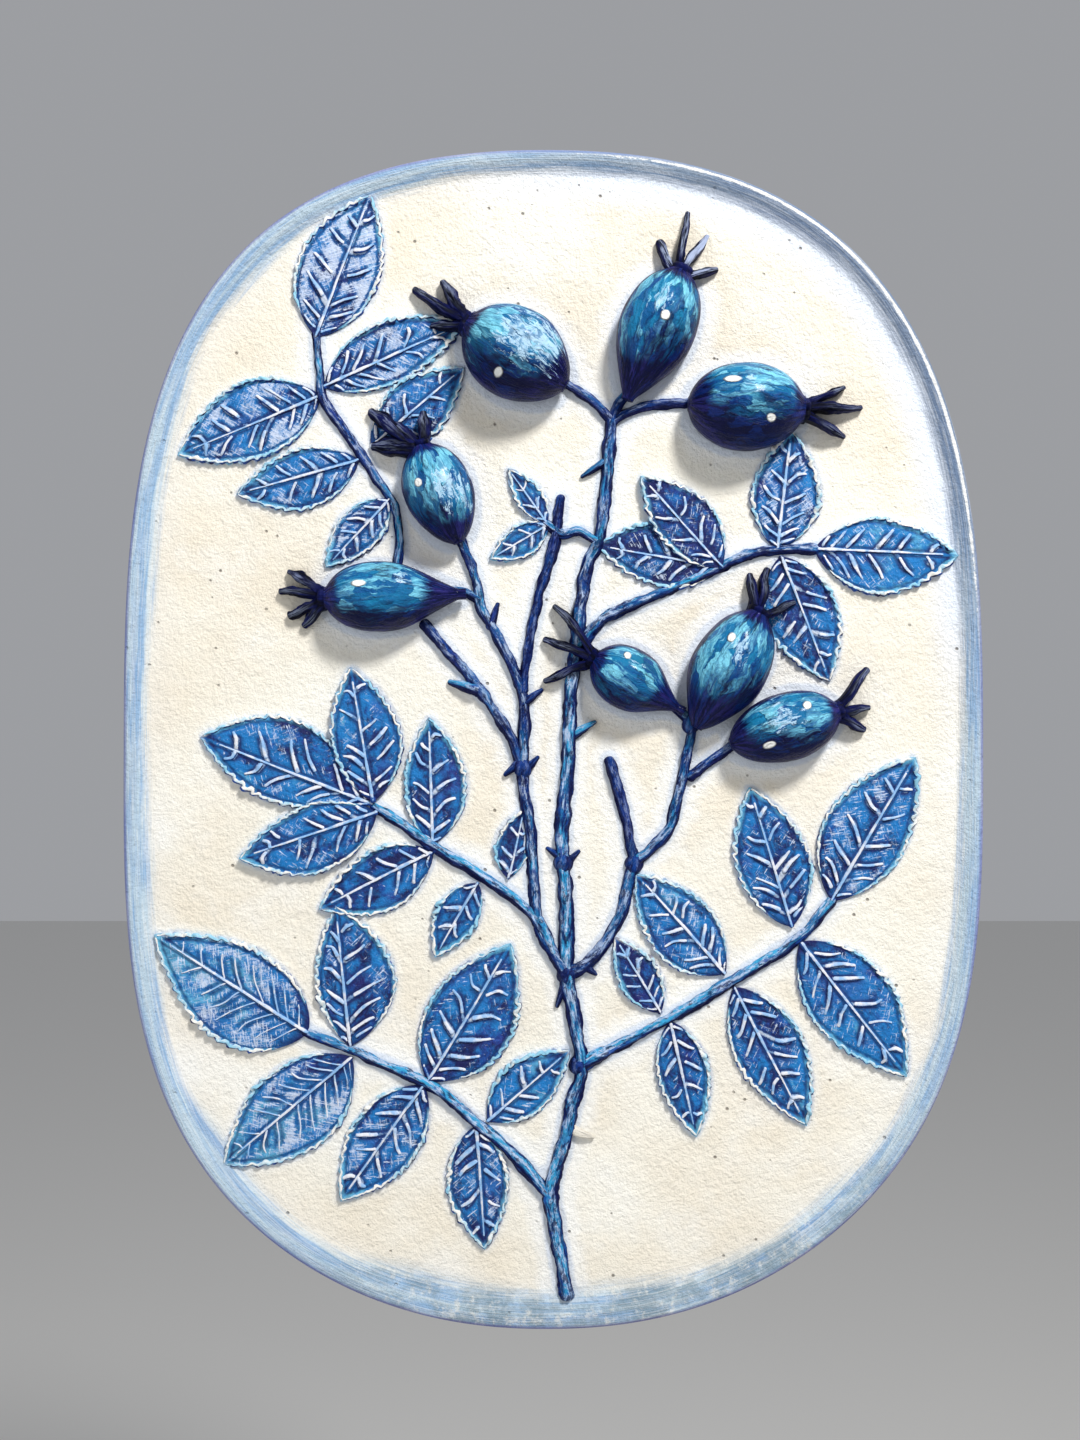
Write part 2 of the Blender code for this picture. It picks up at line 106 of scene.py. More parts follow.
@dataclass(frozen=True)
class Plan:
    """The layout of the plaque's face, stretched to the plaque's size in metres."""

    width: float = 0.175
    height: float = 0.240
    ground: float = 0.0135
    centre: tuple[float, float] = (550.7, 736.2)
    units_across: float = 857.3
    units_up: float = 1175.2
    root: float = 1.2 * MM
    view_centre: tuple[float, float] = (540.0, 720.0)
    view_distance: float = 0.30

    @property
    def unit(self) -> float:
        """Length in metres of one plan unit."""
        return 0.5 * (self.width / self.units_across + self.height / self.units_up)

    def place(self, u: np.ndarray, v: np.ndarray, rise: np.ndarray) -> np.ndarray:
        """Put plan points on the face.

        Args:
            u: Plan positions to the right.
            v: Plan positions downwards.
            rise: Heights over the ground in metres.

        Returns:
            Places in metres, with x, y and z along the last axis.
        """
        u, v, rise = np.broadcast_arrays(u, v, rise)
        x = (u - self.centre[0]) / self.units_across * self.width
        z = (self.centre[1] - v) / self.units_up * self.height
        return np.stack([x, -self.ground - rise, z], axis=-1)

    def under_view(self, spot: tuple[float, float], rise: float) -> tuple[float, float]:
        """Move a raised form's plan point to where it looks right from the front.

        Args:
            spot: The plan point as it is seen.
            rise: Height of the form's widest line over the ground in metres.

        Returns:
            The plan point under it.
        """
        keep = 1 - rise / self.view_distance
        return tuple(c + (p - c) * keep for p, c in zip(spot, self.view_centre))

    def path(self, points: tuple, rise: float, step: float) -> np.ndarray:
        """Run a smooth curve through plan points.

        Args:
            points: The plan points, in order.
            rise: Height of the curve over the ground in metres.
            step: Distance between the curve's points in metres.

        Returns:
            Places in metres along the curve.
        """
        knots = self.place(*np.array(points, float).T, rise)
        ends = np.vstack([2 * knots[0] - knots[1], knots, 2 * knots[-1] - knots[-2]])
        run = []
        for a, b, c, d in zip(ends, ends[1:], ends[2:], ends[3:]):
            count = max(2, round(float(np.linalg.norm(c - b)) / step))
            t = (np.arange(count) / count)[:, None]
            curve = 2 * b + (c - a) * t + (2 * a - 5 * b + 4 * c - d) * t**2
            run.append(0.5 * (curve + (3 * b - a - 3 * c + d) * t**3))
        run.append(knots[-1:])
        return np.vstack(run)


PLAN = Plan()


def shaped_grids(name: str, forms: list[tuple], sharp: float = 60.0) -> bpy.types.Object:
    """Model a piece of one or more closed forms, each from a grid primitive.

    Each grid is moved to its places, its touching edges are sewn, its open ends are filled and
    its faces are turned outwards.

    Args:
        name: Name of the piece.
        forms: For each form its rows by columns of places in metres, and its marks: values or
            vectors for each vertex, for the finish to read.
        sharp: Angle in degrees over which an edge stays sharp.

    Returns:
        The finished piece.
    """
    bpy.ops.object.select_all(action="DESELECT")
    for number, (places, _) in enumerate(forms):
        rows, columns = places.shape[:2]
        bpy.ops.mesh.primitive_grid_add(x_subdivisions=columns - 1, y_subdivisions=rows - 1)
        if number == 0 and len(forms) > 1:
            bpy.ops.object.mode_set(mode="EDIT")
    if len(forms) > 1:
        bpy.ops.object.mode_set(mode="OBJECT")
    piece = bpy.context.object
    piece.name = piece.data.name = name
    corners = np.concatenate([places.reshape(-1) for places, _ in forms])
    piece.data.vertices.foreach_set("co", corners.astype(np.float32))
    for mark, sample in forms[0][1].items():
        kind, key = ("FLOAT_VECTOR", "vector") if sample.ndim == 3 else ("FLOAT", "value")
        layer = piece.data.attributes.new(mark, kind, "POINT")
        values = np.concatenate([marks[mark].reshape(-1) for _, marks in forms])
        layer.data.foreach_set(key, values.astype(np.float32))
    bpy.ops.object.mode_set(mode="EDIT")
    bpy.ops.mesh.select_all(action="SELECT")
    bpy.ops.mesh.remove_doubles(threshold=1e-6)
    bpy.ops.mesh.fill_holes(sides=0)
    bpy.ops.mesh.select_all(action="SELECT")
    bpy.ops.mesh.normals_make_consistent(inside=False)
    bpy.ops.object.mode_set(mode="OBJECT")
    bpy.ops.object.shade_smooth_by_angle(angle=math.radians(sharp))
    return piece


def shaped_grid(
    name: str, places: np.ndarray, marks: dict[str, np.ndarray], sharp: float = 60.0
) -> bpy.types.Object:
    """Model a piece of one closed form."""
    return shaped_grids(name, [(places, marks)], sharp)


def dress(piece: bpy.types.Object, finish: bpy.types.Material) -> None:
    """Give a piece its finish and let it ride on the plaque.

    Args:
        piece: The finished piece.
        finish: Its material.
    """
    piece.data.materials.clear()
    piece.data.materials.append(finish)
    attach(piece, "root")
    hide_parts("relief_plaque")
    log.info("%s: %d faces", piece.name, len(piece.data.polygons))


# Paint and plaster


class NodeSheet:
    """Adds and links shader nodes in one node tree."""

    def __init__(self, tree: bpy.types.NodeTree) -> None:
        """Keep the tree that the nodes go into."""
        self.tree = tree

    def node(self, kind: str, **settings: object) -> bpy.types.Node:
        """Add a node.

        Args:
            kind: Blender's name for it.
            settings: Its settings.

        Returns:
            The node.
        """
        made = self.tree.nodes.new(kind)
        for key, value in settings.items():
            setattr(made, key, value)
        return made

    def feed(self, socket: bpy.types.NodeSocket, source: object) -> None:
        """Link a source to a socket, or set the socket to a plain value.

        Args:
            socket: The socket that gets it.
            source: Another node's output, a number, a vector or a colour.
        """
        if isinstance(source, bpy.types.NodeSocket):
            self.tree.links.new(source, socket)
        else:
            socket.default_value = source

    def filled(self, kind: str, terms: tuple, **settings: object) -> bpy.types.Node:
        """Add a node and feed its first inputs.

        Args:
            kind: Blender's name for it.
            terms: What its inputs get, in order.
            settings: Its settings.

        Returns:
            The node.
        """
        made = self.node(kind, **settings)
        for socket, term in zip(made.inputs, terms):
            self.feed(socket, term)
        return made

    def mark(self, name: str, output: str = "Fac") -> bpy.types.NodeSocket:
        """Read one of the piece's own marks."""
        return self.node("ShaderNodeAttribute", attribute_name=name).outputs[output]

    def spot(self) -> bpy.types.NodeSocket:
        """Read the place on the piece, in metres."""
        return self.node("ShaderNodeTexCoord").outputs["Object"]

    def sum(self, operation: str, *terms: object, clamp: bool = False) -> bpy.types.NodeSocket:
        """Work out a number from others."""
        return self.filled("ShaderNodeMath", terms, operation=operation, use_clamp=clamp).outputs[0]

    def times(self, value: object, share: object) -> bpy.types.NodeSocket:
        """Take a share of a value."""
        return self.sum("MULTIPLY", value, share)

    def plus(self, value: object, extra: object, share: object) -> bpy.types.NodeSocket:
        """Add a share of an extra to a value."""
        return self.sum("MULTIPLY_ADD", extra, share, value)

    def rest(self, value: object) -> bpy.types.NodeSocket:
        """Give what a value leaves of one."""
        return self.sum("SUBTRACT", 1.0, value)

    def vector(self, operation: str, *terms: object) -> bpy.types.NodeSocket:
        """Work out a vector from others."""
        return self.filled("ShaderNodeVectorMath", terms, operation=operation).outputs["Vector"]

    def length(self, vector: object) -> bpy.types.NodeSocket:
        """Measure a vector."""
        return self.filled("ShaderNodeVectorMath", (vector,), operation="LENGTH").outputs["Value"]

    def stretch(self, vector: object, scale: tuple, turn: tuple = (0, 0, 0)) -> bpy.types.NodeSocket:
        """Turn a pattern's coordinates, then scale them.

        Args:
            vector: The coordinates.
            scale: The scale along each axis.
            turn: The turn about each axis in radians.

        Returns:
            The new coordinates.
        """
        for setting, value in (("Rotation", turn), ("Scale", scale)):
            made = self.filled("ShaderNodeMapping", (vector,))
            made.inputs[setting].default_value = value
            vector = made.outputs[0]
        return vector

    def noise(self, vector: object, scale: float, detail: float, rough: float) -> bpy.types.Node:
        """Add cloudy noise.

        Args:
            vector: Its coordinates.
            scale: Clouds to one unit of the coordinates.
            detail: How many finer layers it has.
            rough: How strong the finer layers are.

        Returns:
            The node.
        """
        made = self.node("ShaderNodeTexNoise")
        values = {"Vector": vector, "Scale": scale, "Detail": detail, "Roughness": rough}
        for name, value in values.items():
            self.feed(made.inputs[name], value)
        return made

    def clouds(
        self, vector: object, scale: float = 1.0, detail: float = 3.0, rough: float = 0.55
    ) -> bpy.types.NodeSocket:
        """Cloudy unevenness between 0 and 1."""
        return self.noise(vector, scale, detail, rough).outputs["Fac"]

    def range(self, value: object, low: object, high: object) -> bpy.types.NodeSocket:
        """Rise smoothly from 0 to 1.

        Args:
            value: What is read.
            low: Where the result leaves 0.
            high: Where it reaches 1.

        Returns:
            The result.
        """
        made = self.filled("ShaderNodeMapRange", (value, low, high), interpolation_type="SMOOTHSTEP")
        return made.outputs["Result"]

    def patches(
        self,
        vector: object,
        low: float,
        high: float,
        scale: float = 1.0,
        detail: float = 3.0,
        rough: float = 0.55,
    ) -> bpy.types.NodeSocket:
        """Soft-edged patches, 1 where the clouds pass high and 0 where they stay under low."""
        return self.range(self.clouds(vector, scale, detail, rough), low, high)

    def fray(self, value: object, streaks: bpy.types.NodeOutputs, share: float) -> bpy.types.NodeSocket:
        """Break up a value with the height of brush strokes, so that its edge is streaky."""
        return self.plus(value, self.sum("SUBTRACT", streaks["Height"], STROKE_MIDDLE), share)

    def mix(self, share: object, under: object, over: object) -> bpy.types.NodeSocket:
        """Lay one colour over another.

        Args:
            share: How far the upper one covers.
            under: The lower colour.
            over: The upper colour.

        Returns:
            The mixed colour.
        """
        made = self.node("ShaderNodeMix", data_type="RGBA")
        for place, source in ((0, share), (6, under), (7, over)):
            self.feed(made.inputs[place], source)
        return made.outputs[2]

    def lay(self, under: object, over: object, mask: object, share: object) -> bpy.types.NodeSocket:
        """Lay a share of a colour over another where a mask lets it."""
        return self.mix(self.times(mask, share), under, over)

    def group(self, tree: bpy.types.NodeTree, **inputs: object) -> bpy.types.NodeOutputs:
        """Place a shared effect.

        Args:
            tree: The effect.
            inputs: What its inputs get.

        Returns:
            Its outputs.
        """
        made = self.node("ShaderNodeGroup", node_tree=tree)
        for name, source in inputs.items():
            self.feed(made.inputs[name], source)
        return made.outputs


def effect(name: str, inputs: dict[str, str], outputs: dict[str, str]) -> tuple:
    """Start a shared effect.

    Args:
        name: Name of the effect.
        inputs: Its input names and their socket kinds.
        outputs: Its output names and their socket kinds.

    Returns:
        The node group, its sheet, its inputs and its output node.
    """
    tree = bpy.data.node_groups.new(name, "ShaderNodeTree")
    for title, kind in inputs.items():
        tree.interface.new_socket(title, in_out="INPUT", socket_type=kind)
    for title, kind in outputs.items():
        tree.interface.new_socket(title, in_out="OUTPUT", socket_type=kind)
    sheet = NodeSheet(tree)
    return tree, sheet, sheet.node("NodeGroupInput").outputs, sheet.node("NodeGroupOutput").inputs


FLOAT, VECTOR = "NodeSocketFloat", "NodeSocketVector"

# The middle of the height that the brush strokes effect gives
STROKE_MIDDLE = 0.8


def dry_brush_effect() -> bpy.types.NodeTree:
    """White paint dragged over a relief, which catches on what stands up and breaks into specks.

    Returns:
        The shared effect, whose Cover sets how much paint is left.
    """
    tree, sheet, given, out = effect(
        "dry_brush", {"Spot": VECTOR, "Ridge": FLOAT, "Cover": FLOAT}, {"Mask": FLOAT}
    )
    specks = sheet.clouds(given["Spot"], 2600.0, 4.0, 0.7)
    drag = sheet.clouds(given["Spot"], 420.0, 2.0)
    hold = sheet.plus(sheet.times(drag, 0.65), specks, 0.75)
    level = sheet.sum("ADD", hold, given["Ridge"])
    edge = sheet.sum("SUBTRACT", 1.75, given["Cover"])
    sheet.feed(out["Mask"], sheet.range(level, edge, sheet.sum("ADD", edge, 0.16)))
    return tree


def brush_strokes_effect() -> bpy.types.NodeTree:
    """Streaks that a loaded brush leaves along the first axis of its coordinates.

    Returns:
        The shared effect, with a broad Mask, a Fine streak mask and a Height for bumps.
    """
    tree, sheet, given, out = effect(
        "brush_strokes", {"Along": VECTOR}, {"Mask": FLOAT, "Fine": FLOAT, "Height": FLOAT}
    )
    broad = sheet.clouds(sheet.stretch(given["Along"], (0.16, 0.75, 0.16)), rough=0.6)
    fine = sheet.clouds(sheet.stretch(given["Along"], (0.35, 3.6, 0.35)), rough=0.65)
    sheet.feed(out["Mask"], sheet.range(broad, 0.40, 0.60))
    sheet.feed(out["Fine"], sheet.range(fine, 0.44, 0.62))
    sheet.feed(out["Height"], sheet.sum("ADD", fine, sheet.times(broad, 0.6)))
    return tree


def plaster_grain_effect() -> bpy.types.NodeTree:
    """Cast plaster's fine grain, its pinholes and its faint clouding.

    Returns:
        The shared effect, with Height, Pits and Clouding.
    """
    tree, sheet, given, out = effect(
        "plaster_grain", {"Spot": VECTOR}, {"Height": FLOAT, "Pits": FLOAT, "Clouding": FLOAT}
    )
    grain = sheet.clouds(given["Spot"], 1250.0, 4.0, 0.7)
    lumps = sheet.clouds(given["Spot"], 430.0, 4.0, 0.65)
    holes = sheet.node("ShaderNodeTexVoronoi", feature="F1")
    sheet.feed(holes.inputs["Vector"], given["Spot"])
    holes.inputs["Scale"].default_value = 260.0
    rare = sheet.patches(given["Spot"], 0.50, 0.56, 150.0, 2.0)
    pit = sheet.rest(sheet.range(holes.outputs["Distance"], 0.04, 0.11))
    pits = sheet.times(pit, rare)
    bent = sheet.times(sheet.clouds(given["Spot"], 40.0, 1.0), 5.0)
    swept = sheet.vector("ADD", sheet.stretch(given["Spot"], (170, 170, 560), (0, 0.5, 0)), bent)
    height = sheet.plus(sheet.times(grain, 1.2), lumps, 1.2)
    height = sheet.plus(height, sheet.clouds(swept, rough=0.6), 0.6)
    sheet.feed(out["Height"], sheet.sum("SUBTRACT", height, sheet.times(pits, 1.2)))
    sheet.feed(out["Pits"], pits)
    sheet.feed(out["Clouding"], sheet.patches(given["Spot"], 0.34, 0.66, 28.0, 4.0, 0.6))
    return tree


def washed_edge_effect() -> bpy.types.NodeTree:
    """A wash of paint that thins out unevenly with the distance from what it was brushed round.

    Returns:
        The shared effect: Distance and Reach in millimetres give the Mask.
    """
    tree, sheet, given, out = effect(
        "washed_edge", {"Spot": VECTOR, "Distance": FLOAT, "Reach": FLOAT}, {"Mask": FLOAT}
    )
    wobble = sheet.clouds(given["Spot"], 240.0, 4.0, 0.65)
    moved = sheet.plus(given["Distance"], sheet.sum("SUBTRACT", wobble, 0.5), given["Reach"])
    fade = sheet.range(moved, sheet.times(given["Reach"], 0.25), given["Reach"])
    sheet.feed(out["Mask"], sheet.rest(fade))
    return tree


@dataclass
class Effects:
    """The effects that the finishes share, each built once."""

    dry_brush: bpy.types.NodeTree = field(default_factory=dry_brush_effect)
    brush_strokes: bpy.types.NodeTree = field(default_factory=brush_strokes_effect)
    plaster_grain: bpy.types.NodeTree = field(default_factory=plaster_grain_effect)
    washed_edge: bpy.types.NodeTree = field(default_factory=washed_edge_effect)


def start_finish(name: str, roughness: float, shine: float = 0.3) -> tuple:
    """Start a material.

    Args:
        name: Name of the finish.
        roughness: Roughness all over, where nothing else feeds it.
        shine: Strength of its plain reflection.

    Returns:
        The material, its sheet and its Principled shader's inputs.
    """
    material = bpy.data.materials.new(name)
    material.use_nodes = True
    sheet = NodeSheet(material.node_tree)
    shader = material.node_tree.nodes["Principled BSDF"].inputs
    shader["Roughness"].default_value = roughness
    shader["Specular IOR Level"].default_value = shine
    return material, sheet, shader


def raise_bumps(
    sheet: NodeSheet, shader: bpy.types.NodeInputs, height: object, depth: float, strength: float
) -> None:
    """Feed a height to the shader's normal.

    Args:
        sheet: The material's sheet.
        shader: The shader's inputs.
        height: The height's socket.
        depth: Depth in metres of one unit of height.
        strength: How much of it shows.
    """
    bump = sheet.node("ShaderNodeBump")
    bump.inputs["Strength"].default_value = strength
    bump.inputs["Distance"].default_value = depth
    sheet.feed(bump.inputs["Height"], height)
    sheet.feed(shader["Normal"], bump.outputs["Normal"])


@dataclass(frozen=True)
class PlasterFinish:
    """The cream ground, its white and blue washes, and the blue painted rim and side."""

    cream: tuple = paint(244, 240, 228)
    warm: tuple = paint(231, 218, 195)
    white: tuple = paint(247, 247, 244)
    pale_blue: tuple = paint(186, 205, 232)
    sky: tuple = paint(144, 178, 213)
    mist: tuple = paint(182, 204, 220)
    grey: tuple = paint(120, 142, 156)
    deep: tuple = paint(84, 118, 178)
    shade_slate: tuple = paint(104, 122, 152)
    violet: tuple = paint(112, 100, 172)
    cool_painted_light: tuple = paint(226, 236, 252)
    pit: tuple = paint(112, 100, 86)

    def build(self, effects: Effects) -> bpy.types.Material:
        """Make the material.

        Args:
            effects: The shared effects.

        Returns:
            The material of the slab.
        """
        material, sheet, shader = start_finish("plaster", 0.82)
        spot = sheet.spot()
        edge = sheet.mark("edge", "Vector")
        grain = sheet.group(effects.plaster_grain, Spot=spot)
        streaks = sheet.group(effects.brush_strokes, Along=edge)
        reach = sheet.mark("rim_reach")
        patchy = sheet.fray(sheet.mark("inset"), streaks, 2.6)
        covered = sheet.rest(sheet.range(patchy, sheet.times(reach, 0.6), sheet.times(reach, 1.2)))
        colour = self.ground(sheet, effects, spot, grain)
        colour = sheet.mix(covered, colour, self.rim(sheet, spot, edge, streaks))
        brink = sheet.rest(sheet.range(sheet.fray(sheet.mark("inset"), streaks, 0.5), 0.35, 1.1))
        brink = sheet.times(brink, sheet.rest(sheet.mark("shade_slate")))
        colour = sheet.lay(colour, self.violet, brink, 0.6)
        colour = sheet.mix(sheet.mark("side"), colour, sheet.mix(streaks["Mask"], self.violet, self.sky))
        # White dry brush on the rim's crest: a little all round, and much more where the rim faces the
        # upper right, where it is a painted highlight.
        crest = sheet.group(effects.dry_brush, Spot=spot, Ridge=sheet.mark("crest"), Cover=0.45)
        colour = sheet.lay(colour, self.white, crest["Mask"], 0.8)
        colour = sheet.mix(sheet.mark("back"), colour, self.cream)
        sheet.feed(shader["Base Color"], colour)
        height = sheet.plus(grain["Height"], streaks["Height"], covered)
        raise_bumps(sheet, shader, height, 0.45 * MM, 0.85)
        return material

    def ground(
        self,
        sheet: NodeSheet,
        effects: Effects,
        spot: bpy.types.NodeSocket,
        grain: bpy.types.NodeOutputs,
    ) -> bpy.types.NodeSocket:
        """Colour the cream ground and the washes round the branch.

        Args:
            sheet: The material's sheet.
            effects: The shared effects.
            spot: The place on the slab.
            grain: The plaster grain's outputs.

        Returns:
            The ground's colour.
        """
        colour = sheet.lay(self.cream, self.warm, grain["Clouding"], 0.6)
        colour = sheet.lay(colour, self.white, sheet.patches(spot, 0.48, 0.7, 48.0, 4.0, 0.6), 0.45)
        for distance, reach, over, share in (
            ("near_stem", 5.0, self.white, 0.8),
            ("near_leaf", 2.2, self.white, 0.35),
            ("near_leaf", 0.9, self.pale_blue, 0.45),
            ("near_stem", 1.4, self.pale_blue, 0.5),
        ):
            wash = sheet.group(effects.washed_edge, Spot=spot, Distance=sheet.mark(distance), Reach=reach)
            colour = sheet.lay(colour, over, wash["Mask"], share)
        # Painted light: bluish white on the ground's rise to the rim where the rim faces the upper right,
        # lightening ground turned from the light.
        painted_light_slope = sheet.rest(sheet.range(sheet.mark("inset"), 4.0, 13.0))
        painted_light_slope = sheet.times(painted_light_slope, sheet.range(sheet.mark("shade_slate"), -0.2, 0.6))
        colour = sheet.lay(colour, self.cool_painted_light, painted_light_slope, 0.9)
        # Painted shade: the pinholes are painted dark.
        return sheet.lay(colour, self.pit, grain["Pits"], 0.75)

    def rim(
        self,
        sheet: NodeSheet,
        spot: bpy.types.NodeSocket,
        edge: bpy.types.NodeSocket,
        streaks: bpy.types.NodeOutputs,
    ) -> bpy.types.NodeSocket:
        """Colour the brushed blue of the rim.

        Args:
            sheet: The material's sheet.
            spot: The place on the slab.
            edge: The place along and across the rim.
            streaks: The brush strokes' outputs.

        Returns:
            The rim's colour.
        """
        blue = sheet.mix(streaks["Mask"], self.sky, self.mist)
        # Painted shade: grey-blue laid on the rim where it faces the upper right, on its inner side turned
        # from the light.
        blue = sheet.lay(blue, self.shade_slate, sheet.mark("shade_slate"), 0.9)
        patch = sheet.patches(sheet.stretch(edge, (0.05, 0.3, 0.05)), 0.5, 0.68)
        blue = sheet.lay(blue, self.deep, patch, 0.28)
        # Grey and cream patches on the rim, towards the bottom left.
        for low, high, scale, detail, rough, over, share in (
            (0.36, 0.60, 110.0, 5.0, 0.75, self.grey, 0.8),
            (0.50, 0.68, 420.0, 4.0, 0.8, self.cream, 0.45),
        ):
            patchy = sheet.patches(spot, low, high, scale, detail, rough)
            blue = sheet.lay(blue, over, sheet.times(patchy, sheet.mark("foot")), share)
        return sheet.lay(blue, self.white, streaks["Fine"], 0.22)


@dataclass(frozen=True)
class LeafFinish:
    """Ultramarine leaf paint with turquoise patches, a lavender frost, white veins and painted shade in
    the grooves.
    """

    navy: tuple = paint(6, 20, 80)
    cobalt: tuple = paint(12, 68, 150)
    cerulean: tuple = paint(16, 124, 198)
    violet: tuple = paint(52, 50, 142)
    ultramarine: tuple = paint(7, 15, 84)
    frost: tuple = paint(200, 213, 236)
    cyan: tuple = paint(104, 186, 220)
    pale: tuple = paint(150, 184, 224)
    white: tuple = paint(222, 226, 232)
    cream: tuple = paint(226, 221, 208)

    def build(self, effects: Effects) -> bpy.types.Material:
        """Make the material.

        Args:
            effects: The shared effects.

        Returns:
            The material of the leaflets.
        """
        material, sheet, shader = start_finish("leaf_paint", 0.5)
        spot = sheet.spot()
        blade = sheet.mark("blade", "Vector")
        colour = sheet.mix(sheet.patches(spot, 0.45, 0.60, 300.0, 6.0, 0.85), self.navy, self.cobalt)
        patch = sheet.clouds(sheet.stretch(blade, (0.13, 0.2, 1)), 1.0, 5.0, 0.75)
        bright = sheet.times(sheet.mark("bright"), 0.34)
        tip = sheet.times(sheet.sum("SUBTRACT", sheet.mark("share"), 0.45), sheet.mark("bright"))
        load = sheet.sum("ADD", patch, sheet.plus(bright, tip, 0.35))
        colour = sheet.lay(colour, self.cerulean, sheet.range(load, 0.52, 0.70), 0.9)
        colour = sheet.lay(colour, self.cyan, sheet.range(load, 0.74, 0.9), 0.7)
        bruise = sheet.patches(spot, 0.54, 0.68, 130.0, 2.0)
        colour = sheet.lay(colour, self.violet, bruise, 0.35)
        # Painted shade: ultramarine in the grooves beside the veins and inside the lip; the leaflet is
        # also darker towards its base.
        base = sheet.rest(sheet.range(sheet.mark("share"), 0.0, 0.25))
        groove_shade = sheet.sum("MAXIMUM", base, sheet.mark("groove"))
        colour = sheet.lay(colour, self.ultramarine, groove_shade, 0.95)
        haze = sheet.clouds(sheet.stretch(blade, (0.17, 0.22, 1)))
        held = sheet.plus(sheet.mark("frost"), sheet.sum("SUBTRACT", haze, 0.5), 1.1)
        held = sheet.plus(held, groove_shade, -0.75)
        grains = sheet.clouds(spot, 1700.0, 4.0, 0.9)
        veil = sheet.range(sheet.plus(grains, held, 0.7), 0.90, 1.06)
        colour = sheet.lay(colour, self.frost, veil, 0.55)
        for turn, lean, share in ((0.9, 0.0, 0.9), (-0.75, 3.0, 0.5)):
            moved = sheet.vector("ADD", blade, (lean, lean, lean))
            lines = sheet.clouds(sheet.stretch(moved, (0.38, 2.8, 1), (0, 0, turn)), rough=0.7)
            scratches = sheet.range(sheet.plus(lines, held, 0.30), 0.71, 0.76)
            colour = sheet.lay(colour, self.frost, scratches, share)
        ridge = sheet.plus(sheet.mark("ridge"), base, -0.45)
        for over, cover in ((self.pale, 0.45), (self.white, 0.25)):
            veins = sheet.group(effects.dry_brush, Spot=spot, Ridge=ridge, Cover=cover)
            colour = sheet.lay(colour, over, veins["Mask"], 0.6)
        wobble = sheet.plus(sheet.mark("edge"), sheet.clouds(spot, 700.0, 3.0, 0.6), 0.5)
        inner = sheet.rest(sheet.range(wobble, 0.9, 1.6))
        touched = sheet.patches(spot, 0.42, 0.62, 150.0)
        colour = sheet.lay(colour, self.cyan, inner, sheet.times(touched, 0.7))
        lip = sheet.rest(sheet.range(wobble, 0.68, 0.98))
        lip_paint = sheet.lay(self.cream, self.cyan, touched, 0.6)
        colour = sheet.lay(colour, lip_paint, lip, 0.35)
        sheet.feed(shader["Base Color"], colour)
        height = sheet.plus(sheet.clouds(spot, 420.0), sheet.clouds(spot, 1300.0, 4.0, 0.7), 0.8)
        raise_bumps(sheet, shader, height, 0.7 * MM, 0.95)
        return material


@dataclass(frozen=True)
class RidgeFinish:
    """Pale paint on the leaflets' veins and lips, broken where the leaf blue shows through, and kept off
    their lower side as painted shade.
    """

    navy: tuple = paint(6, 16, 70)
    cobalt: tuple = paint(18, 70, 150)
    pale: tuple = paint(140, 182, 226)
    lavender: tuple = paint(224, 226, 234)
    cream: tuple = paint(234, 233, 228)
    cyan: tuple = paint(116, 190, 222)

    def build(self, effects: Effects) -> bpy.types.Material:
        """Make the material.

        Args:
            effects: The shared effects.

        Returns:
            The material of the veins and lips.
        """
        material, sheet, shader = start_finish("ridge_paint", 0.6)
        spot = sheet.spot()
        lip = sheet.mark("lip")
        colour = sheet.mix(sheet.patches(spot, 0.4, 0.6, 500.0), self.navy, self.cobalt)
        # Painted shade: pale paint is kept off the lower side of the veins and lips, which stays navy.
        facing = sheet.plus(sheet.mark("crest"), sheet.mark("under"), -0.85)
        base = sheet.rest(sheet.range(sheet.mark("share"), 0.0, 0.3))
        ridge = sheet.plus(facing, sheet.times(base, sheet.rest(lip)), -0.4)
        cover = sheet.plus(0.55, lip, 0.05)
        brushed = sheet.group(effects.dry_brush, Spot=spot, Ridge=ridge, Cover=cover)["Mask"]
        on_vein = sheet.mix(sheet.patches(spot, 0.4, 0.6, 330.0), self.pale, self.lavender)
        on_lip = sheet.lay(self.cream, self.cyan, sheet.patches(spot, 0.40, 0.60, 170.0, 4.0, 0.7), 0.85)
        colour = sheet.mix(brushed, colour, sheet.mix(lip, on_vein, on_lip))
        sheet.feed(shader["Base Color"], colour)
        raise_bumps(sheet, shader, sheet.clouds(spot, 1300.0, 4.0, 0.7), 0.4 * MM, 0.8)
        return material


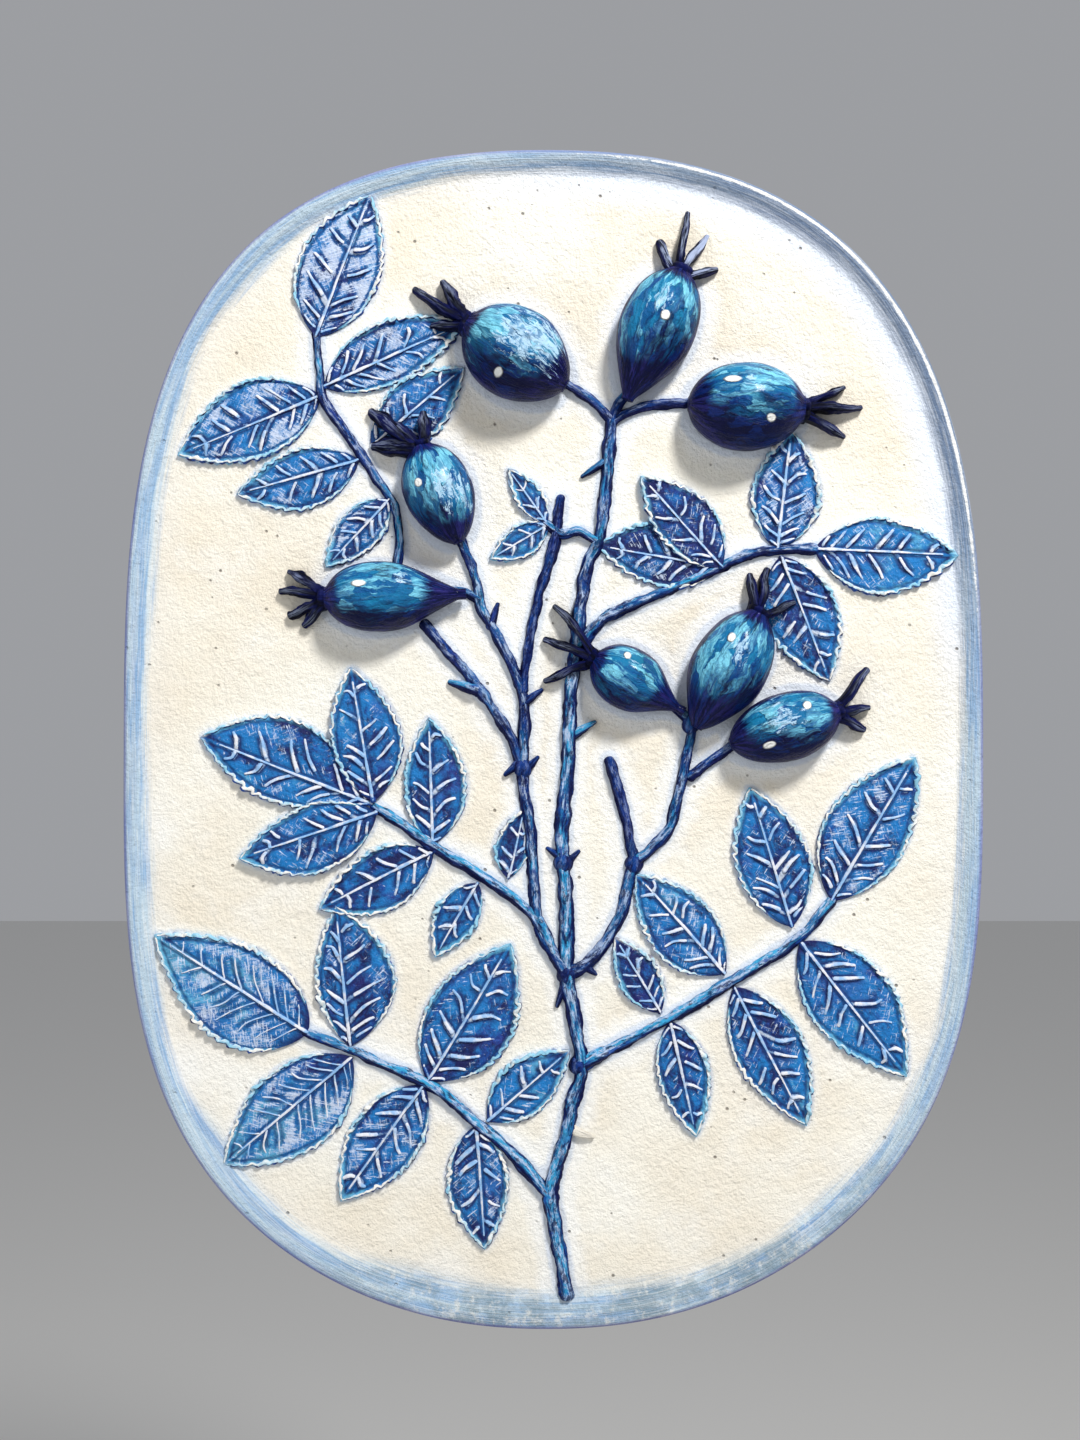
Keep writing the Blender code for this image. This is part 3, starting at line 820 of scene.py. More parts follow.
@dataclass(frozen=True)
class StemFinish:
    """Navy stem paint with cobalt, turquoise and pale streaks: painted light on the upper side, painted
    shade below.
    """

    navy: tuple = paint(6, 14, 66)
    cobalt: tuple = paint(18, 68, 150)
    cyan: tuple = paint(58, 160, 210)
    pale: tuple = paint(186, 202, 230)
    violet: tuple = paint(58, 62, 142)
    plaster: tuple = paint(240, 234, 220)

    def build(self, effects: Effects) -> bpy.types.Material:
        """Make the material.

        Args:
            effects: The shared effects.

        Returns:
            The material of the stems and thorns.
        """
        material, sheet, shader = start_finish("stem_paint", 0.5, 0.12)
        spot = sheet.spot()
        bark = sheet.stretch(sheet.mark("bark", "Vector"), (0.7, 0.5, 1))
        streaks = sheet.group(effects.brush_strokes, Along=bark)
        # Painted light and shade: the stem's upper side is painted lighter in cobalt and turquoise and its
        # lower side darker in navy; the crest's share is dry-brushed paint.
        facing = sheet.plus(sheet.times(sheet.mark("crest"), 0.7), sheet.mark("under"), -0.75)
        uneven = sheet.fray(facing, streaks, 1.3)
        lit = sheet.range(uneven, 0.15, 0.9)
        colour = sheet.lay(self.navy, self.cobalt, lit, 0.75)
        load = sheet.plus(sheet.clouds(spot, 60.0), sheet.mark("bright"), 0.5)
        lengths = sheet.range(load, 0.54, 0.80)
        bright = sheet.range(uneven, 0.42, 0.88)
        colour = sheet.lay(colour, self.cyan, bright, lengths)
        tinge = sheet.patches(spot, 0.5, 0.62, 110.0)
        colour = sheet.lay(colour, self.violet, tinge, sheet.times(lit, 0.4))
        flecks = sheet.patches(sheet.stretch(bark, (0.4, 2.0, 1)), 0.47, 0.56, 1.0, 5.0, 0.75)
        # Pale streaks on the upper side: painted light, over paint dry-brushed on the crest.
        drag = sheet.times(sheet.range(uneven, 0.42, 0.8), sheet.times(flecks, 0.9))
        drag = sheet.times(drag, sheet.range(sheet.mark("bright"), -0.2, 0.55))
        colour = sheet.mix(drag, colour, self.pale)
        gaps = sheet.clouds(sheet.stretch(bark, (0.25, 0.9, 1)), 1.0, 5.0, 0.75)
        gaps = sheet.range(sheet.plus(gaps, lengths, -0.05), 0.51, 0.59)
        colour = sheet.lay(colour, sheet.mix(lengths, self.navy, self.cobalt), gaps, 0.85)
        along = sheet.stretch(bark, (0.5, 1.6, 1), (0, 0, 0.12))
        cracks = sheet.patches(along, 0.54, 0.60, 1.0, 4.0, 0.75)
        colour = sheet.lay(colour, self.navy, cracks, 0.8)
        colour = sheet.lay(colour, self.plaster, sheet.mark("bare"), 0.92)
        sheet.feed(shader["Base Color"], colour)
        height = sheet.plus(streaks["Height"], sheet.clouds(spot, 900.0), 0.8)
        raise_bumps(sheet, shader, height, 0.9 * MM, 0.85)
        return material


@dataclass(frozen=True)
class HipFinish:
    """Glossy hip paint: indigo ends, a teal middle, strokes along the hip, white dots and painted
    reflections, a painted highlight, painted light above and painted shade below.
    """

    indigo: tuple = paint(5, 8, 50)
    violet: tuple = paint(62, 58, 150)
    cobalt: tuple = paint(14, 52, 130)
    teal: tuple = paint(26, 122, 168)
    turquoise: tuple = paint(124, 204, 228)
    sea: tuple = paint(24, 92, 100)
    frost: tuple = paint(178, 212, 236)
    white: tuple = paint(246, 246, 242)
    coat: float = 0.09
    coat_roughness: float = 0.12

    def build(self, effects: Effects) -> bpy.types.Material:
        """Make the material.

        Args:
            effects: The shared effects.

        Returns:
            The material of the hips.
        """
        material, sheet, shader = start_finish("hip_paint", 0.36, 0.08)
        shader["Coat Weight"].default_value = self.coat
        shader["Coat Roughness"].default_value = self.coat_roughness
        spot = sheet.spot()
        plain = sheet.mark("skin", "Vector")
        even = sheet.stretch(plain, (0.62, 0.34, 1))
        sway = sheet.noise(sheet.stretch(even, (0.5, 1.6, 1)), 1.0, 3.0, 0.5).outputs["Color"]
        skin = sheet.vector("MULTIPLY_ADD", sway, (1.6, 0.9, 0.0), even)
        streaks = sheet.group(effects.brush_strokes, Along=skin)
        dabs = sheet.node("ShaderNodeTexVoronoi", feature="SMOOTH_F1")
        sheet.feed(dabs.inputs["Vector"], sheet.stretch(skin, (0.42, 1.7, 1)))
        dabs.inputs["Scale"].default_value = 1.0
        dabs.inputs["Smoothness"].default_value = 0.12
        tones = sheet.filled("ShaderNodeSeparateColor", (dabs.outputs["Color"],)).outputs
        # Painted light and shade: the hip's upper side gets the cobalt, teal and turquoise strokes as
        # painted light, and its lower side and lower end stay indigo as painted shade.
        lit = sheet.rest(sheet.range(sheet.fray(sheet.mark("under"), streaks, 1.5), -0.4, 0.4))
        skirt = sheet.times(sheet.mark("belly"), sheet.range(sheet.mark("crest"), 0.1, 0.8))
        face = sheet.times(lit, sheet.range(sheet.fray(skirt, streaks, 0.9), 0.15, 0.6))
        colour = sheet.mix(sheet.plus(0.05, face, 0.8), self.indigo, self.cobalt)
        outline = sheet.times(streaks["Fine"], sheet.rest(skirt))
        colour = sheet.lay(colour, self.violet, outline, 0.45)
        shown = sheet.sum("MULTIPLY", face, sheet.plus(0.3, tones["Red"], 0.75), clamp=True)
        colour = sheet.mix(shown, colour, self.teal)
        green = sheet.times(sheet.patches(spot, 0.5, 0.66, 90.0, 2.0), face)
        colour = sheet.lay(colour, self.sea, green, 0.55)
        load = sheet.plus(sheet.plus(tones["Green"], streaks["Fine"], 0.35), face, 0.3)
        loaded = sheet.range(load, 0.70, 1.12)
        hairs = sheet.patches(sheet.stretch(skin, (0.5, 5.5, 1)), 0.38, 0.60, 1.0, 4.0, 0.7)
        strokes = sheet.times(loaded, sheet.plus(0.34, hairs, 0.66))
        colour = sheet.lay(colour, self.turquoise, strokes, face)
        shadow = sheet.range(sheet.plus(tones["Blue"], hairs, -0.35), 0.5, 0.75)
        colour = sheet.lay(colour, self.cobalt, shadow, 0.45)
        dark = sheet.patches(sheet.stretch(plain, (0.16, 0.5, 0.3)), 0.54, 0.66, 1.0, 5.0, 0.72)
        colour = sheet.lay(colour, self.indigo, dark, 0.75)
        scratched = sheet.plus(sheet.plus(0.42, tones["Blue"], 0.2), hairs, 0.35)
        scratched = sheet.plus(scratched, streaks["Fine"], 0.35)
        # Painted highlight: the frost gathers round the highlight's place on the hip's upper side.
        scratched = sheet.plus(scratched, sheet.length(sheet.mark("glow", "Vector")), -0.75)
        frosted = sheet.group(effects.dry_brush, Spot=spot, Ridge=scratched, Cover=sheet.mark("frost"))
        chips = sheet.patches(sheet.stretch(skin, (1.2, 3.0, 1)), 0.36, 0.52)
        frosted = sheet.times(frosted["Mask"], sheet.plus(0.28, chips, 0.6))
        colour = sheet.mix(frosted, colour, self.frost)
        height = streaks["Height"]
        # White dots: paint on the hips, and the longer dots on the third and fifth hips are painted
        # reflections.
        for name in ("dot_a", "dot_b"):
            reach = sheet.length(sheet.mark(name, "Vector"))
            reach = sheet.plus(reach, sheet.clouds(spot, 900.0, 2.0), 0.35)
            inside = sheet.rest(sheet.range(reach, 0.95, 1.3))
            colour = sheet.mix(inside, colour, self.white)
            height = sheet.plus(height, inside, 0.8)
        sheet.feed(shader["Base Color"], colour)
        height = sheet.plus(height, tones["Green"], 0.35)
        height = sheet.plus(height, sheet.clouds(spot, 500.0, 4.0, 0.7), 0.9)
        raise_bumps(sheet, shader, height, 0.8 * MM, 0.85)
        return material


@dataclass(frozen=True)
class SepalFinish:
    """Near-black navy on the dried sepals, with a little white on their tips."""

    black: tuple = paint(4, 6, 26)
    navy: tuple = paint(10, 18, 74)
    pale: tuple = paint(176, 190, 222)

    def build(self, effects: Effects) -> bpy.types.Material:
        """Make the material.

        Args:
            effects: The shared effects.

        Returns:
            The material of the sepals.
        """
        material, sheet, shader = start_finish("sepal_paint", 0.5, 0.08)
        streaks = sheet.group(effects.brush_strokes, Along=sheet.mark("bark", "Vector"))
        colour = sheet.mix(streaks["Mask"], self.black, self.navy)
        drag = sheet.times(streaks["Fine"], sheet.range(sheet.mark("crest"), 0.55, 1.0))
        drag = sheet.times(drag, sheet.range(sheet.mark("share"), 0.3, 0.95))
        chalk = sheet.range(sheet.sum("ADD", sheet.mark("chalk"), streaks["Height"]), 1.05, 1.35)
        drag = sheet.sum("MAXIMUM", sheet.times(drag, 0.45), sheet.times(chalk, 0.9))
        colour = sheet.mix(drag, colour, self.pale)
        sheet.feed(shader["Base Color"], colour)
        raise_bumps(sheet, shader, streaks["Height"], 0.5 * MM, 0.8)
        return material


# The branch's layout on the plan


class Veins(Enum):
    """How the side veins were modelled."""

    BOLD = "thick broken ridges"
    FINE = "many thin straight lines"


@dataclass(frozen=True)
class LeafletPlan:
    """A leaflet's base, tip and half widths on the plan, and how it was painted."""

    base: tuple[float, float]
    tip: tuple[float, float]
    left: float
    right: float
    pairs: int = 6
    level: int = 0
    frost: float = 0.45
    bright: float = 0.35
    veins: Veins = Veins.BOLD
    skew: float = 0.88


@dataclass(frozen=True)
class StemPlan:
    """A stem's points on the plan, its radii in metres and how light it was painted."""

    points: tuple[tuple[float, float], ...]
    radius: float
    end_radius: float
    bright: float = 0.2
    end_bright: float | None = None


@dataclass(frozen=True)
class ThornPlan:
    """A thorn's root and tip on the plan, how thick it is against others, and its paint."""

    root: tuple[float, float]
    tip: tuple[float, float]
    thick: float = 1.0
    bright: float = 0.0
    bare: float = 0.0


@dataclass(frozen=True)
class HipPlan:
    """A hip's ends on the plan, its form, its sepals and how it was painted.

    A dot is its place on the plan and its half lengths along and across the hip in millimetres;
    most dots are white paint, and the longer ones are painted reflections. The highlight is the
    place and the reach of a painted highlight in the lightest strokes. A sepal is its tip on the
    plan and its half width in millimetres.
    """

    stalk: tuple[float, float]
    blossom: tuple[float, float]
    width: float
    fullness: float
    sepals: tuple[tuple[float, float, float], ...]
    dots: tuple[tuple[float, float, float, float], ...]
    glow: tuple[float, float, float]
    frost: float = 0.4
    waist: float = 0.1
    shade: float = -0.3
    chalk: float = 0.15


LEAFLETS: dict[str, tuple[LeafletPlan, ...]] = {
    "upper_left": (
        LeafletPlan((317, 338), (371, 196), 46, 40, frost=0.74, bright=0.5),
        LeafletPlan((325, 388), (466, 324), 37, 27, frost=0.58),
        LeafletPlan((321, 397), (178, 456), 35, 43, pairs=7, frost=0.64, bright=0.55),
        LeafletPlan((372, 448), (465, 368), 30, 31, pairs=4, frost=0.5),
        LeafletPlan((359, 461), (237, 495), 34, 28, pairs=5, frost=0.5, bright=0.5),
        LeafletPlan((390, 500), (326, 568), 21, 24, pairs=5, frost=0.65),
    ),
    "right": (
        LeafletPlan((814, 550), (958, 556), 34, 42, frost=0.35, bright=0.6),
        LeafletPlan((777, 550), (791, 431), 32, 38, frost=0.5),
        LeafletPlan((780, 557), (829, 682), 36, 40, frost=0.4),
        LeafletPlan((721, 568), (640, 477), 27, 32, pairs=5, level=1, frost=0.5, bright=0.15),
        LeafletPlan((721, 568), (596, 546), 30, 36, frost=0.5, bright=0.15),
    ),
    "middle_pair": (
        LeafletPlan((547, 524), (508, 469), 13, 15, pairs=3, frost=0.35, bright=0.6),
        LeafletPlan((549, 525), (490, 560), 17, 16, pairs=3, frost=0.3, bright=0.6),
    ),
    "middle_left": (
        LeafletPlan((372, 804), (201, 737), 34, 51, pairs=7, frost=0.38, bright=0.4, skew=1.08),
        LeafletPlan((374, 801), (351, 667), 31, 39, level=1, frost=0.27),
        LeafletPlan((377, 812), (240, 858), 40, 29, level=1, frost=0.35),
        LeafletPlan((433, 844), (429, 717), 27, 36, frost=0.27),
        LeafletPlan((433, 852), (319, 909), 34, 29, pairs=5, frost=0.27),
        LeafletPlan((508, 878), (524, 809), 21, 14, pairs=3, frost=0.3),
        LeafletPlan((478, 883), (435, 957), 20, 23, pairs=3, frost=0.27),
    ),
    "lower_left": (
        LeafletPlan(
            (308, 1032), (155, 934), 54, 43, pairs=9, frost=0.62, bright=0.7, veins=Veins.FINE,
            skew=0.78,
        ),
        LeafletPlan((351, 1045), (336, 905), 27, 52, pairs=7, frost=0.35),
        LeafletPlan(
            (352, 1057), (224, 1164), 48, 41, pairs=9, frost=0.6, bright=0.62, veins=Veins.FINE
        ),
        LeafletPlan((428, 1080), (511, 943), 41, 49, pairs=7, frost=0.35),
        LeafletPlan((424, 1085), (341, 1200), 36, 35, frost=0.5, bright=0.45),
        LeafletPlan((488, 1120), (570, 1049), 28, 26, pairs=4, frost=0.35, bright=0.6),
        LeafletPlan((476, 1125), (485, 1248), 27, 34, pairs=5, frost=0.5),
    ),
    "lower_right": (
        LeafletPlan((831, 900), (915, 757), 47, 38),
        LeafletPlan((791, 926), (749, 787), 37, 38, pairs=7, frost=0.4),
        LeafletPlan((800, 942), (906, 1076), 46, 38, pairs=7, frost=0.4, bright=0.5),
        LeafletPlan((734, 987), (806, 1125), 38, 32, pairs=7, frost=0.4),
        LeafletPlan((724, 973), (635, 873), 38, 31, pairs=7, bright=0.5),
        LeafletPlan((660, 1012), (614, 936), 22, 21, pairs=5, frost=0.35, bright=0.2),
        LeafletPlan((670, 1021), (696, 1136), 28, 25, pairs=5, frost=0.4),
    ),
}

MAIN, BRANCH, STALK, TWIG = 1.60 * MM, 1.30 * MM, 1.00 * MM, 1.10 * MM

STEMS: dict[str, StemPlan] = {
    "central": StemPlan(
        (
            (566, 1294), (562, 1267), (554, 1221), (551, 1187), (563, 1145), (573, 1102),
            (581, 1068), (574, 1016), (567, 974), (566, 896), (562, 847), (566, 786),
            (571, 694), (576, 645), (586, 571), (599, 540), (606, 480), (612, 423),
        ),
        MAIN, BRANCH, bright=1.1, end_bright=0.25,
    ),
    "left": StemPlan(
        (
            (567, 974), (552, 951), (537, 920), (531, 840), (523, 775), (523, 700),
            (502, 645), (482, 609), (476, 580), (461, 541),
        ),
        BRANCH, STALK, bright=0.35,
    ),
    "cut_twig": StemPlan(
        ((523, 690), (528, 650), (539, 596), (554, 545), (561, 499)), TWIG, TWIG, bright=0.05
    ),
    "side": StemPlan(
        ((520, 765), (508, 733), (476, 685), (449, 653), (424, 624)), TWIG, TWIG, bright=0.2
    ),
    "right": StemPlan(
        (
            (567, 974), (588, 962), (607, 938), (622, 909), (633, 865), (649, 850),
            (668, 829), (677, 799), (685, 762), (692, 728),
        ),
        BRANCH, TWIG, bright=0.3,
    ),
    "right_twig": StemPlan(((634, 864), (627, 826), (618, 789), (610, 760)), TWIG, TWIG, bright=0.1),
    "hip_stalk_1": StemPlan(((612, 423), (598, 407), (581, 394), (560, 381)), STALK, STALK),
    "hip_stalk_2": StemPlan(((612, 423), (618, 406), (630, 392)), STALK, STALK),
    "hip_stalk_3": StemPlan(((612, 423), (627, 414), (651, 406), (692, 403)), STALK, STALK),
    "hip_stalk_5": StemPlan(((480, 600), (462, 592), (440, 592)), STALK, STALK),
    "hip_stalk_6": StemPlan(((690, 722), (680, 712), (668, 700)), TWIG, TWIG),
    "hip_stalk_8": StemPlan(((690, 776), (710, 761), (736, 742)), TWIG, STALK),
    "spray_upper_left": StemPlan(
        (
            (317, 335), (320, 372), (324, 399), (352, 442), (379, 482), (396, 510),
            (400, 540), (397, 572),
        ),
        STALK, STALK, bright=0.3,
    ),
    "spray_right": StemPlan(
        ((578, 648), (605, 619), (655, 596), (704, 575), (746, 556), (777, 550), (815, 550)),
        BRANCH, STALK, bright=0.5,
    ),
    "spray_middle_pair": StemPlan(
        ((596, 542), (579, 532), (562, 535), (546, 524)), STALK, STALK, bright=0.5
    ),
    "spray_middle_left": StemPlan(
        (
            (552, 951), (537, 921), (513, 897), (475, 871), (437, 848), (400, 823),
            (374, 806),
        ),
        BRANCH, STALK, bright=1.1,
    ),
    "spray_lower_left": StemPlan(
        (
            (550, 1197), (530, 1172), (505, 1146), (476, 1122), (451, 1100), (426, 1082),
            (389, 1066), (355, 1051), (306, 1031),
        ),
        BRANCH, STALK, bright=1.35,
    ),
    "spray_lower_right": StemPlan(
        ((580, 1064), (612, 1048), (667, 1019), (734, 979), (795, 940), (832, 900)),
        BRANCH, STALK, bright=0.85,
    ),
}

THORNS = (
    ThornPlan((604, 463), (582, 477)),
    ThornPlan((573, 735), (595, 722), thick=1.1, bright=1.25),
    ThornPlan((523, 704), (542, 690)),
    ThornPlan((490, 627), (498, 604)),
    ThornPlan((478, 690), (450, 682), thick=1.6, bright=1.25),
    ThornPlan((520, 762), (505, 775)),
    ThornPlan((526, 770), (538, 757)),
    ThornPlan((563, 858), (547, 848)),
    ThornPlan((565, 864), (579, 851)),
    ThornPlan((573, 1129), (593, 1137), bare=1.0),
    ThornPlan((584, 964), (596, 974)),
    ThornPlan((566, 978), (557, 1006)),
    ThornPlan((578, 1066), (592, 1061)),
)

KNOTS = ((567, 974), (578, 1064), (690, 724), (634, 864), (523, 768), (563, 862))

HIPS = (
    HipPlan(
        (566, 386), (468, 323), 90, 1.05,
        ((415, 291, 1.0), (443, 284, 1.2), (432, 327, 1.0)),
        ((498, 370, 0.9, 0.9),),
        (530, 338, 7.0),
        frost=0.86, shade=-0.22,
    ),
    HipPlan(
        (627, 400), (681, 272), 77, 1.25,
        ((659, 243, 0.95), (687, 215, 0.7), (707, 238, 0.8), (716, 271, 0.8)),
        ((665, 316, 1.0, 0.95),),
        (660, 300, 6.0),
        frost=0.45, waist=0.3, shade=-0.1, chalk=0.62,
    ),
    HipPlan(
        (688, 404), (804, 409), 85, 1.00,
        ((843, 389, 0.8), (860, 409, 0.95), (843, 438, 0.9)),
        ((772, 417, 0.95, 0.8), (733, 378, 1.7, 0.75)),
        (752, 384, 5.5),
        frost=0.3, waist=0.0, shade=0.0,
    ),
    HipPlan(
        (459, 543), (421, 446), 69, 1.10,
        ((372, 413, 1.5), (374, 447, 1.5), (390, 425, 1.3), (424, 414, 1.3)),
        ((418, 482, 0.9, 0.8),),
        (450, 482, 6.5),
        frost=0.62,
    ),
    HipPlan(
        (466, 594), (325, 598), 70, 1.45,
        ((290, 572, 1.1), (281, 592, 0.9), (291, 616, 1.2), (305, 626, 1.1)),
        ((358, 583, 1.5, 0.7),),
        (400, 578, 6.0),
        frost=0.3, waist=0.4,
    ),
    HipPlan(
        (684, 712), (594, 658), 62, 1.45,
        ((555, 607, 1.1), (545, 640, 0.95), (545, 681, 0.9)),
        ((628, 655, 0.8, 0.7),),
        (632, 662, 4.0),
        frost=0.35, waist=0.6,
    ),
    HipPlan(
        (696, 728), (759, 614), 76, 1.05,
        ((749, 575, 1.0), (766, 570, 0.9), (793, 603, 1.0)),
        ((732, 637, 1.0, 0.8),),
        (738, 648, 5.5),
        frost=0.4, waist=0.25, shade=-0.15,
    ),
    HipPlan(
        (730, 744), (838, 711), 68, 1.10,
        ((866, 670, 0.95), (868, 708, 0.9), (863, 730, 0.95)),
        ((808, 705, 0.9, 0.8), (770, 745, 1.3, 0.7)),
        (782, 716, 6.0),
        frost=0.5, waist=0.0, shade=-0.05,
    ),
)


def blade_width(share: np.ndarray, skew: float) -> np.ndarray:
    """Half width of a leaflet along its length, widest nearer the tip where skew is larger."""
    return np.sin(np.pi * np.clip(share, 0, 1) ** skew) ** 0.82


def axes(start: tuple, end: tuple) -> tuple[np.ndarray, np.ndarray, np.ndarray, float]:
    """Find how a form lies on the plan.

    Args:
        start: Its first end.
        end: Its other end.

    Returns:
        Its start, its direction, its left side and its length.
    """
    first = np.array(start, float)
    along = np.array(end, float) - first
    length = float(np.linalg.norm(along))
    along /= length
    return first, along, np.array([along[1], -along[0]]), length


@dataclass
class Slab:
    """The oval slab with its rounded shoulder, raised rim and softly uneven ground."""

    side_exponent: float = 2.22
    top_exponent: float = 3.15
    trim_three: float = 0.47 * MM
    trim_three_turn: float = math.radians(23)
    trim_five: float = 0.49 * MM
    trim_five_turn: float = math.radians(-77)
    rim_rise: float = 1.8 * MM
    rim_side_width: float = 5.4 * MM
    rim_foot_width: float = 8.6 * MM
    crest_inset: float = 1.3 * MM
    rounding: float = 1.1 * MM
    back_bevel: float = 0.8 * MM
    steps: int = 480
    wall_rings: int = 8
    shoulder_rings: int = 6
    rim_rings: int = 14
    ground_rings: int = 112
    swell: float = 0.17 * MM
    fillet: float = 0.40 * MM
    lump: float = 0.12 * MM
    slate_turn: float = math.radians(52)
    stroke_radius: float = 31.0

    def outline(self) -> tuple[np.ndarray, np.ndarray]:
        """Find the edge at even steps.

        Returns:
            The edge's x and z by step, and each step's inward direction.
        """
        turn = np.linspace(0, 2 * np.pi, 2881)
        cos, sin = np.cos(turn), np.sin(turn)
        x = np.sign(cos) * np.abs(cos) ** (2 / self.side_exponent) * PLAN.width / 2
        z = np.sign(sin) * np.abs(sin) ** (2 / self.top_exponent) * PLAN.height / 2
        trim = self.trim_three * np.cos(3 * turn - self.trim_three_turn)
        trim += self.trim_five * np.cos(5 * turn - self.trim_five_turn)
        grow = 1 + trim / np.hypot(x, z)
        edge = np.stack([x * grow, z * grow], axis=1)
        run = np.concatenate([[0], np.cumsum(np.linalg.norm(np.diff(edge, axis=0), axis=1))])
        wanted = np.linspace(0, run[-1], self.steps + 1)[:-1]
        even = np.stack([np.interp(wanted, run, edge[:, k]) for k in (0, 1)], axis=1)
        tangent = np.roll(even, -1, axis=0) - np.roll(even, 1, axis=0)
        tangent /= np.linalg.norm(tangent, axis=1)[:, None]
        return even, np.stack([-tangent[:, 1], tangent[:, 0]], axis=1)

    def rings(self) -> tuple[np.ndarray, ...]:
        """Lay rings over the wall, the shoulder, the rim and the ground.

        Returns:
            The rings' x, z, height and distance from the edge, and the rim's width.
        """
        edge, inward = self.outline()
        low = np.clip(-2 * edge[:, 1] / PLAN.height, 0, 1) ** 4
        lip = self.rim_side_width + (self.rim_foot_width - self.rim_side_width) * low
        crest = PLAN.ground + self.rim_rise
        rings: list[tuple[np.ndarray, float]] = [(np.full_like(lip, self.back_bevel), 0.0)]
        for height in np.linspace(self.back_bevel, crest - self.rounding, self.wall_rings):
            rings.append((np.zeros_like(lip), float(height)))
        for turn in np.linspace(0.25, 1.0, self.shoulder_rings) * math.pi / 2:
            inset = self.crest_inset * (1 - math.cos(turn))
            rings.append((np.full_like(lip, inset), crest - self.rounding * (1 - math.sin(turn))))
        for share in np.linspace(0.08, 1.0, self.rim_rings):
            inset = self.crest_inset + share * (lip - self.crest_inset)
            rings.append((inset, crest - self.rim_rise * float(smooth(0, 1, share))))
        places = [edge + inward * inset[:, None] for inset, _ in rings]
        heights = [np.full(self.steps, height) for _, height in rings]
        insets = [inset for inset, _ in rings]
        inner = places[-1]
        for share in np.linspace(0, 1, self.ground_rings + 1)[1:]:
            places.append(inner * (1 - share))
            heights.append(np.full(self.steps, PLAN.ground))
            insets.append(lip + share * np.linalg.norm(inner, axis=1))
        flat = np.stack(places)
        return flat[..., 0], flat[..., 1], np.stack(heights), np.stack(insets), lip

    def swells(
        self, x: np.ndarray, z: np.ndarray, inset: np.ndarray, near_stem: np.ndarray, near_leaf: np.ndarray
    ) -> np.ndarray:
        """Shape the soft swells of the face and the fillets round the branch.

        Args:
            x: The rings' x.
            z: The rings' z.
            inset: Their distance from the edge.
            near_stem: Millimetres to the nearest stem or hip.
            near_leaf: Millimetres to the nearest leaflet.

        Returns:
            What they add to the height.
        """
        swell = ripple(x / 0.021, z / 0.021, 3) + 0.5 * ripple(x / 0.008, z / 0.008, 9)
        swell += 0.3 * ripple(x / 0.0035, z / 0.0035, 17)
        gather = np.exp(-np.maximum(near_stem, 0) / 1.1) + 0.6 * np.exp(-np.maximum(near_leaf, 0) / 0.8)
        rise = smooth(1.5, 9, inset / MM) * (self.swell * swell + self.fillet * gather)
        rise[-1] = rise[-1].mean()
        arc = np.linspace(0, 2 * np.pi, self.steps, endpoint=False)
        within = smooth(0, 3, inset / MM) * (1 - smooth(6, 12, inset / MM))
        return rise + self.lump * ripple(9 * np.cos(arc), 0, 5) * within

    def marks(
        self, x: np.ndarray, z: np.ndarray, height: np.ndarray, inset: np.ndarray, lip: np.ndarray
    ) -> dict[str, np.ndarray]:
        """Mark where the rim's paint goes.

        Args:
            x: The rings' x.
            z: The rings' z.
            height: Their height.
            inset: Their distance from the edge.
            lip: The rim's width round the edge.

        Returns:
            The marks by name.
        """
        rows = np.arange(len(x))[:, None] + 0 * x
        inset = inset / MM
        side = (rows <= self.wall_rings) * 1.0
        arc = np.linspace(0, 2 * np.pi, self.steps, endpoint=False) + 0 * x
        # How far the rim faces the upper right, where the light comes from: it places painted shade on the
        # rim's inner side, a painted highlight on its crest and painted light on the ground just inside.
        facing = np.cos(np.arctan2(z, x) - self.slate_turn)
        shade_slate = smooth(0.15, 1.0, facing**3 * (facing > 0))
        foot = smooth(0.55, 0.9, np.clip(-2 * z / PLAN.height, 0, 1))
        foot = foot * smooth(-0.75, -0.2, 2 * x / PLAN.width)
        unsteady = ripple(7.0 * np.cos(arc), 7.0 * np.sin(arc), 31)
        strokes = (
            self.stroke_radius * np.cos(arc),
            inset + side * height / MM,
            self.stroke_radius * np.sin(arc),
        )
        return {
            "inset": inset,
            "side": side,
            "back": (rows < 1) * 1.0,
            # The crest grows where the rim faces the upper right, for a painted highlight there.
            "crest": np.exp(-(((inset - 1.0) / 0.5) ** 2)) * (rows > self.wall_rings - 2) * (0.15 + shade_slate),
            "shade_slate": shade_slate,
            "foot": foot,
            "rim_reach": lip / MM * (0.97 - 0.25 * shade_slate + 0.2 * unsteady),
            "edge": np.stack(strokes, axis=-1),
        }

    def build(self, branch: "Branch", finish: bpy.types.Material) -> bpy.types.Object:
        """Model the slab and mark where the paint goes.

        Args:
            branch: The branch that stands on it, for the washes round it.
            finish: The plaster material.

        Returns:
            The slab.
        """
        x, z, height, inset, lip = self.rings()
        near_stem, near_leaf = branch.distances(x, z)
        on_face = np.arange(len(x))[:, None] >= self.wall_rings + self.shoulder_rings
        height = height + on_face * self.swells(x, z, inset, near_stem, near_leaf)
        marks = {"near_stem": near_stem, "near_leaf": near_leaf}
        marks.update(self.marks(x, z, height, inset, lip))
        places = np.stack([x, -height, z], axis=-1)
        places = np.concatenate([places, places[:, :1]], axis=1)
        closed = {name: np.concatenate([value, value[:, :1]], axis=1) for name, value in marks.items()}
        piece = shaped_grid("slab", places, closed, sharp=75)
        dress(piece, finish)
        return piece


